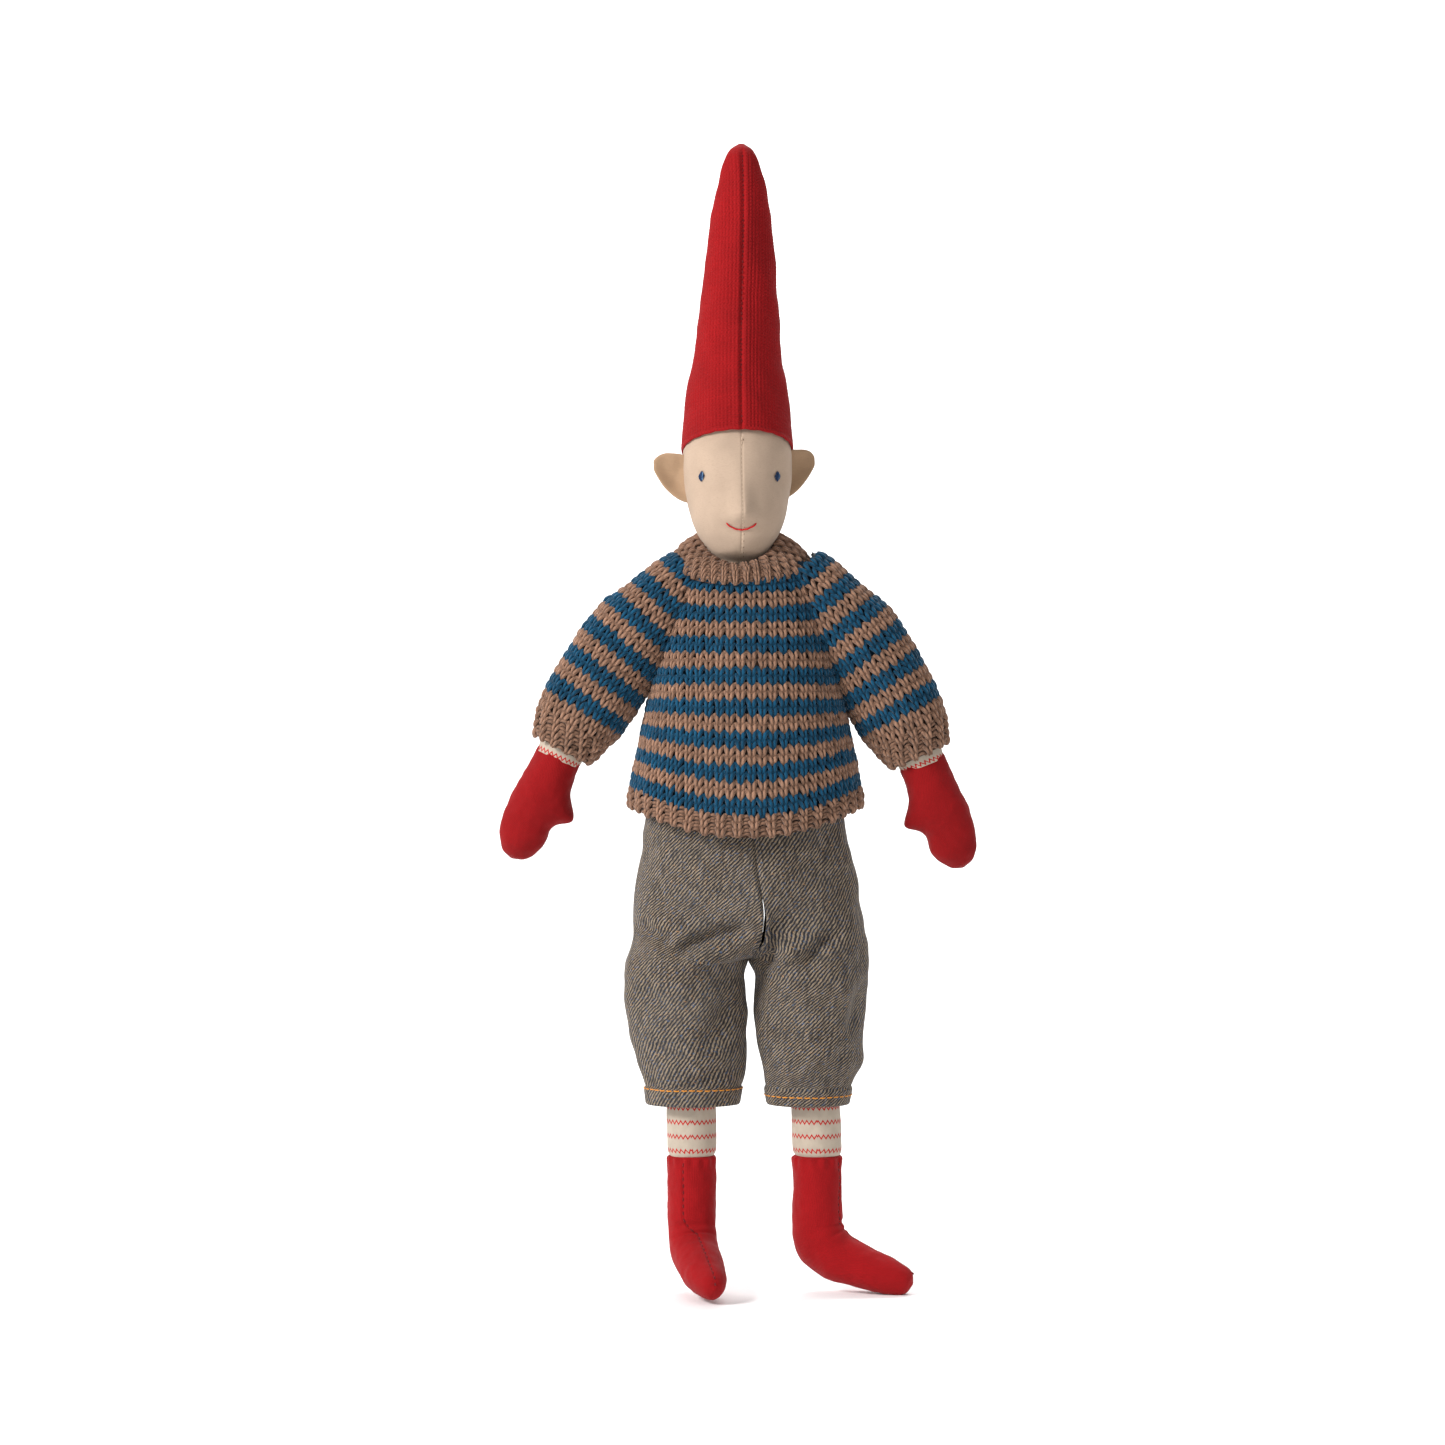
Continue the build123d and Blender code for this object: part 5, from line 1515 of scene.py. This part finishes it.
def make_mittens():
    """Red jersey mittens with a stubby thumb and a seam round the edge."""
    for side in ("right", "left"):
        sign = SIGN[side]
        table = arm_table(ARM_SECTIONS, side)
        wrist = smooth(table, table[-2, 0])[0]
        lean = wrist[3]
        down = np.array([sign * sin(lean), 0, -cos(lean)])
        outer = np.array([sign * cos(lean), 0, sin(lean)])
        count = 144
        along = np.concatenate([np.linspace(-3, 40, 96), np.linspace(40.3, 46.3, 26)])
        turns = np.linspace(0, 2 * pi, count, endpoint=False)
        sections = smooth(MITTEN_SECTIONS, along)
        wide, deep = sections[:, :1], sections[:, 1:2]
        across = wide * np.cos(turns)[None]
        y = deep * np.sin(turns)[None]
        inner = bump(turns, pi, 0.85)[None] * (np.abs(turns - pi) < 1.5)[None]
        thumb = 5.6 * np.exp(-(((along - 18.5) / 5.0) ** 2))[:, None]
        scoop = -1.3 * np.exp(-(((along - 28.5) / 4.2) ** 2))[:, None]
        across = across - (thumb + scoop) * inner
        reach = np.broadcast_to(along[:, None], across.shape) + thumb * inner * 0.35
        points = wrist[:3] + reach[..., None] * down + across[..., None] * outer
        points = points + y[..., None] * np.array([0, 1.0, 0])
        around = np.roll(points, -1, axis=1) - np.roll(points, 1, axis=1)
        ahead = np.gradient(points, axis=0)
        out_dir = unit(np.cross(ahead, around))
        centre = points.mean(axis=1, keepdims=True)
        out_dir *= np.sign((out_dir * (points - centre)).sum(axis=-1, keepdims=True))
        seam = np.exp(-((np.sin(turns) / 0.05) ** 2))[None]
        out = 0.55 * wobble(points, 10.0, 41 + sign) + 0.25 * wobble(points, 3.5, 43) - 0.55 * seam
        out = out * ease(along, 46.3, 42)[:, None] * ease(along, -3, -1)[:, None]
        points = points + out[..., None] * out_dir
        mitten = grid_piece(f"jersey_mitten_{side}", points, material("mitten_jersey"), caps=(True, True))
        face_outwards(mitten)
        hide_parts(f"mitten_{side}_front", f"mitten_{side}_back", f"arm_{side}_stuffing")
        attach(mitten, f"arm_{side}")


# ---- legs and boots -----------------------------------------------------------------------------
BOOT_TOP_Z = -139.0
# Down the leg: height, half width, half depth.
LEG_SECTIONS = [
    (-143.0, 8.4, 8.4), (-139.2, 9.0, 9.0), (-137, 10.2, 10.2), (-134, 10.5, 10.5), (-125, 10.5, 10.5), (-111, 10.4, 10.4),
    (-100, 11.2, 11.2), (-89, 12.6, 12.6), (-78, 14.8, 14.8), (-67, 16.0, 16.0), (-56, 16.8, 17.0),
    (-47, 17.0, 18.0), (-36, 15.8, 17.2), (-28, 12.0, 13.4), (-22.8, 5.0, 6.0),
]  # fmt: skip
SEAM_TWIST = {"right": 34.0, "left": 14.0}  # degrees the boot's front seam turns on its way to the toe
LEG_LINE = {"right": (-22.4, -21.4, 14.0, -3.0), "left": (28.4, 32.0, 76.0, 0.0)}
# Down a boot: forward, height from its top, pitch, half width, half height.
BOOT_SECTIONS = [
    (0.0, 0.6, 0, 9.2, 9.2), (0.0, 0.1, 0, 10.0, 10.0), (0.0, -1.2, 0, 10.5, 10.5), (0.0, -10.0, 0, 10.5, 10.5),
    (-0.2, -20.0, 0, 10.5, 10.7), (0.2, -29.5, 12, 10.4, 11.1), (2.8, -37.5, 34, 10.2, 11.6),
    (8.5, -42.2, 56, 9.9, 10.6), (17.0, -45.5, 66, 9.4, 9.6), (25.4, -48.6, 68, 8.6, 8.5), (33.0, -50.8, 70, 7.0, 7.2),
    (37.4, -52.0, 72, 5.2, 5.9), (39.8, -52.6, 73, 3.3, 4.3), (41.2, -52.9, 74, 0.6, 0.6),
]  # fmt: skip


def leg_frame(side):
    """A foot's forward and sideways directions."""
    yaw = radians(LEG_LINE[side][2])
    return np.array([sin(yaw), -cos(yaw), 0]), np.array([cos(yaw), sin(yaw), 0])


def make_legs():
    """Stuffed legs in zigzag jersey, gathered into the boots."""
    for side in ("right", "left"):
        hip_x, ankle_x, _, _ = LEG_LINE[side]
        forward, _ = leg_frame(side)
        heights = np.concatenate([np.arange(-143, -100, 0.5), np.arange(-100, -22.8, 1.2)])
        wide, deep = smooth(LEG_SECTIONS, heights).T
        middle = ankle_x + (hip_x - ankle_x) * (heights - BOOT_TOP_Z) / (HIPS[side][2] - BOOT_TOP_Z)
        turns = np.linspace(0, 2 * pi, 128, endpoint=False)
        points = np.stack(
            [
                middle[:, None] + wide[:, None] * np.sin(turns),
                -deep[:, None] * np.cos(turns),
                np.broadcast_to(heights[:, None], (len(heights), 128)),
            ],
            axis=-1,
        )
        points = points + 0.4 * wobble(points, 12.0, 51)[..., None] * [1, 1, 0]
        leg = grid_piece(f"jersey_leg_{side}", points, material("zigzag"), caps=(True, True), start=64)
        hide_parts(f"leg_{side}", f"leg_{side}_stuffing")
        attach(leg, f"leg_{side}")


def boot_points(side, count=168):
    """Rings down a boot; their first point is on the front seam."""
    _, ankle_x, _, point_down = LEG_LINE[side]
    forward, across = leg_frame(side)
    knots = np.array(BOOT_SECTIONS)
    steps = np.linalg.norm(np.diff(knots[:, :2], axis=0), axis=1)
    along = np.concatenate([[0], np.cumsum(steps)])
    fine = np.concatenate([np.linspace(0, 2, 7)[:-1], np.linspace(2, along[-3], 130)[:-1],
                           along[-3] + (along[-1] - along[-3]) * np.sin(np.linspace(0, pi / 2, 26))])  # fmt: skip
    reach, height, pitch, wide, tall = smooth(np.column_stack([along, knots]), fine).T
    lean = np.radians(pitch)
    turns = np.linspace(0, 2 * pi, count, endpoint=False)
    z = BOOT_TOP_Z + height - np.maximum(reach, 0) * sin(radians(point_down))
    middle = np.array([ankle_x, 0, 0]) + reach[:, None] * forward + z[:, None] * [0, 0, 1]
    over = np.cos(lean)[:, None] * forward + np.sin(lean)[:, None] * [0, 0, 1]
    spin = turns[None] - radians(SEAM_TWIST[side]) * ease(fine, 42, 26)[:, None]
    points = (
        middle[:, None]
        + (tall[:, None] * np.cos(spin))[..., None] * over[:, None]
        + (wide[:, None] * np.sin(spin))[..., None] * across
    )
    outward = unit(points - middle[:, None])
    seam = np.exp(-((turns / 0.05) ** 2)) + np.exp(-(((turns - 2 * pi) / 0.05) ** 2))
    sole_seam = np.exp(-(((turns - pi) / 0.06) ** 2))
    ripple = 0.35 * np.sin(turns * 13)[None] * ease(fine, 7, 1)[:, None]
    out = 0.6 * wobble(points, 11.0, 61) + 0.25 * wobble(points, 3.6, 62) + ripple
    out = out - 0.45 * (seam + sole_seam)[None]
    creases = 0.9 * bump(fine, 31, 2.2) + 0.7 * bump(fine, 37, 2.0)
    out = out - creases[:, None] * bump(np.abs(((turns + pi) % (2 * pi)) - pi), 0, 1.0)[None]
    fade = ease(fine, along[-1], along[-1] - 5)[:, None] * ease(fine, 0, 1.5)[:, None]
    return points + (out * fade)[..., None] * outward, outward


def make_boots():
    """Red jersey boots with a stitched front seam, gathered at the ankle."""
    for side in ("right", "left"):
        points, outward = boot_points(side)
        boot = grid_piece(f"jersey_boot_{side}", points, material("boot_jersey"), caps=(True, True))
        face_outwards(boot)
        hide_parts(f"boot_{side}_right_half", f"boot_{side}_left_half")
        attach(boot, f"leg_{side}")
        line = points[6:-8, 0] + 0.05 * outward[6:-8, 0]
        seam = stitch_line(
            f"boot_seam_stitches_{side}", line, outward[6:-8, 0], 2.9, 1.7, 1.9 * sizes().sewing_thread,
            material("dark_red_thread"),
        )  # fmt: skip
        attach(seam, f"leg_{side}")


def finish_hidden_nodes():
    """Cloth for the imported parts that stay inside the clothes."""
    finishes = {
        "torso_front": "cotton", "torso_back": "cotton", "torso_stuffing": "wadding",
        "waist_elastic": "white_thread", "neck_thread": "white_thread", "hip_thread": "white_thread",
        "shoulder_stitch_right": "white_thread", "shoulder_stitch_left": "white_thread",
    }  # fmt: skip
    for name, finish in finishes.items():
        held = bpy.data.objects[name]
        if not held.data.materials:
            held.data.materials.append(material(finish))
        for spot in held.material_slots:
            spot.material = material(finish)


# ---- stage --------------------------------------------------------------------------------------
CAMERA_PLACE = (-0.0083, -1.5, 0.045)
CAMERA_LENS = 88.0


def add_light(name, place, aim, power, size, tone=(1, 1, 1)):
    lamp = bpy.data.lights.new(name, "AREA")
    lamp.energy, lamp.size, lamp.color = power, size, tone
    holder = bpy.data.objects.new(name, lamp)
    holder.location = place
    holder.rotation_euler = (Vector(aim) - Vector(place)).to_track_quat("-Z", "Y").to_euler()
    bpy.context.scene.collection.objects.link(holder)


def make_stage():
    """A pale floor that sweeps up behind, soft lights and the camera."""
    floor_z = cad_box[0][2] / MM - 0.4
    profile = [(-2600, floor_z), (500, floor_z), (1900, floor_z), (2250, floor_z + 60), (2450, floor_z + 300),
               (2500, floor_z + 700), (2500, floor_z + 1800)]  # fmt: skip
    line = smooth(np.column_stack([np.arange(7), profile]), np.linspace(0, 6, 61))
    rows = [np.column_stack([np.linspace(-2600, 2600, 9), np.full(9, y), np.full(9, z)]) for y, z in line]
    finish = bpy.data.materials.new("Studio Paper")
    finish.use_nodes = True
    tree = finish.node_tree
    shader = tree.nodes["Principled BSDF"]
    grain = speckle(tree, place_mm(tree), 0.4, 2.0)
    tree.links.new(mixed(tree, grain, (0.95, 0.95, 0.95), (0.97, 0.97, 0.97)), shader.inputs["Base Color"])
    shader.inputs["Roughness"].default_value = 0.95
    floor = grid_piece("studio_paper", np.array(rows), finish, round_closed=False)
    world = bpy.data.worlds.new("Studio")
    bpy.context.scene.world = world
    world.use_nodes = True
    world.node_tree.nodes["Background"].inputs[0].default_value = (1, 1, 1, 1)
    world.node_tree.nodes["Background"].inputs[1].default_value = 0.5
    add_light("key", (-1.0, -0.75, 0.7), (0, 0, 0.02), 21, 0.4)
    add_light("fill", (0.9, -1.2, 0.3), (0, 0, 0), 1.8, 1.0)
    add_light("backdrop", (0, 1.0, 2.0), (0, 2.5, 0.7), 70, 1.6)
    add_light("rim", (0.3, 0.8, 0.9), (0, 0, 0.05), 5, 0.7)
    bpy.context.scene.view_settings.view_transform = "Standard"
    camera = bpy.data.cameras.new("camera")
    camera.lens, camera.sensor_width = CAMERA_LENS, 36.0
    holder = bpy.data.objects.new("camera", camera)
    holder.location = CAMERA_PLACE
    holder.rotation_euler = (radians(90), 0, 0)
    bpy.context.scene.collection.objects.link(holder)
    bpy.context.scene.camera = holder


# ---- operators ----------------------------------------------------------------------------------
class TOMTE_OT_stage(bpy.types.Operator):
    """Make the floor, the lights and the camera"""

    bl_idname = "tomte.stage"
    bl_label = "Stage"

    def execute(self, context):
        make_stage()
        return {"FINISHED"}


class TOMTE_OT_head(bpy.types.Operator):
    """Make the linen head, its ears and its embroidered face"""

    bl_idname = "tomte.head"
    bl_label = "Head"

    def execute(self, context):
        make_head()
        make_ears()
        make_face()
        return {"FINISHED"}


class TOMTE_OT_hat(bpy.types.Operator):
    """Knit the tall hat"""

    bl_idname = "tomte.hat"
    bl_label = "Hat"

    def execute(self, context):
        make_hat()
        return {"FINISHED"}


class TOMTE_OT_jumper(bpy.types.Operator):
    """Knit the jumper's body, neckband and hem"""

    bl_idname = "tomte.jumper"
    bl_label = "Jumper"

    def execute(self, context):
        make_jumper_body()
        make_neckband()
        make_hem_band()
        return {"FINISHED"}


class TOMTE_OT_sleeves(bpy.types.Operator):
    """Knit the sleeves and cuffs"""

    bl_idname = "tomte.sleeves"
    bl_label = "Sleeves"

    def execute(self, context):
        make_sleeves()
        return {"FINISHED"}


class TOMTE_OT_breeches(bpy.types.Operator):
    """Sew the twill breeches"""

    bl_idname = "tomte.breeches"
    bl_label = "Breeches"

    def execute(self, context):
        make_breeches()
        return {"FINISHED"}


class TOMTE_OT_arms(bpy.types.Operator):
    """Make the arms and mittens"""

    bl_idname = "tomte.arms"
    bl_label = "Arms and Mittens"

    def execute(self, context):
        make_arms()
        make_mittens()
        return {"FINISHED"}


class TOMTE_OT_legs(bpy.types.Operator):
    """Make the legs and boots"""

    bl_idname = "tomte.legs"
    bl_label = "Legs and Boots"

    def execute(self, context):
        make_legs()
        make_boots()
        return {"FINISHED"}


class TOMTE_OT_inside(bpy.types.Operator):
    """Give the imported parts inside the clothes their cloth"""

    bl_idname = "tomte.inside"
    bl_label = "Inside"

    def execute(self, context):
        finish_hidden_nodes()
        return {"FINISHED"}


OPERATORS = (
    TOMTE_OT_stage,
    TOMTE_OT_head,
    TOMTE_OT_hat,
    TOMTE_OT_jumper,
    TOMTE_OT_sleeves,
    TOMTE_OT_breeches,
    TOMTE_OT_arms,
    TOMTE_OT_legs,
    TOMTE_OT_inside,
)


class TOMTE_PT_panel(bpy.types.Panel):
    """Lists the doll's sizes, colours and pieces"""

    bl_idname = "TOMTE_PT_panel"
    bl_label = "Cloth Tomte"
    bl_space_type = "VIEW_3D"
    bl_region_type = "UI"
    bl_category = "Tomte"

    def draw(self, context):
        for group in (context.scene.tomte_sizes, context.scene.tomte_colours):
            box = self.layout.box()
            for name in group.bl_rna.properties.keys():
                if name not in ("name", "rna_type"):
                    box.prop(group, name)
        for operator in OPERATORS:
            self.layout.operator(operator.bl_idname)


CLASSES = (TomteSizes, TomteColours, *OPERATORS, TOMTE_PT_panel)


def register():
    for kind in CLASSES:
        bpy.utils.register_class(kind)
    bpy.types.Scene.tomte_sizes = PointerProperty(type=TomteSizes)
    bpy.types.Scene.tomte_colours = PointerProperty(type=TomteColours)


def unregister():
    del bpy.types.Scene.tomte_colours
    del bpy.types.Scene.tomte_sizes
    for kind in reversed(CLASSES):
        bpy.utils.unregister_class(kind)


def main():
    register()
    for operator in OPERATORS:
        getattr(bpy.ops.tomte, operator.bl_idname.split(".")[1])()


if __name__ == "__main__":
    main()
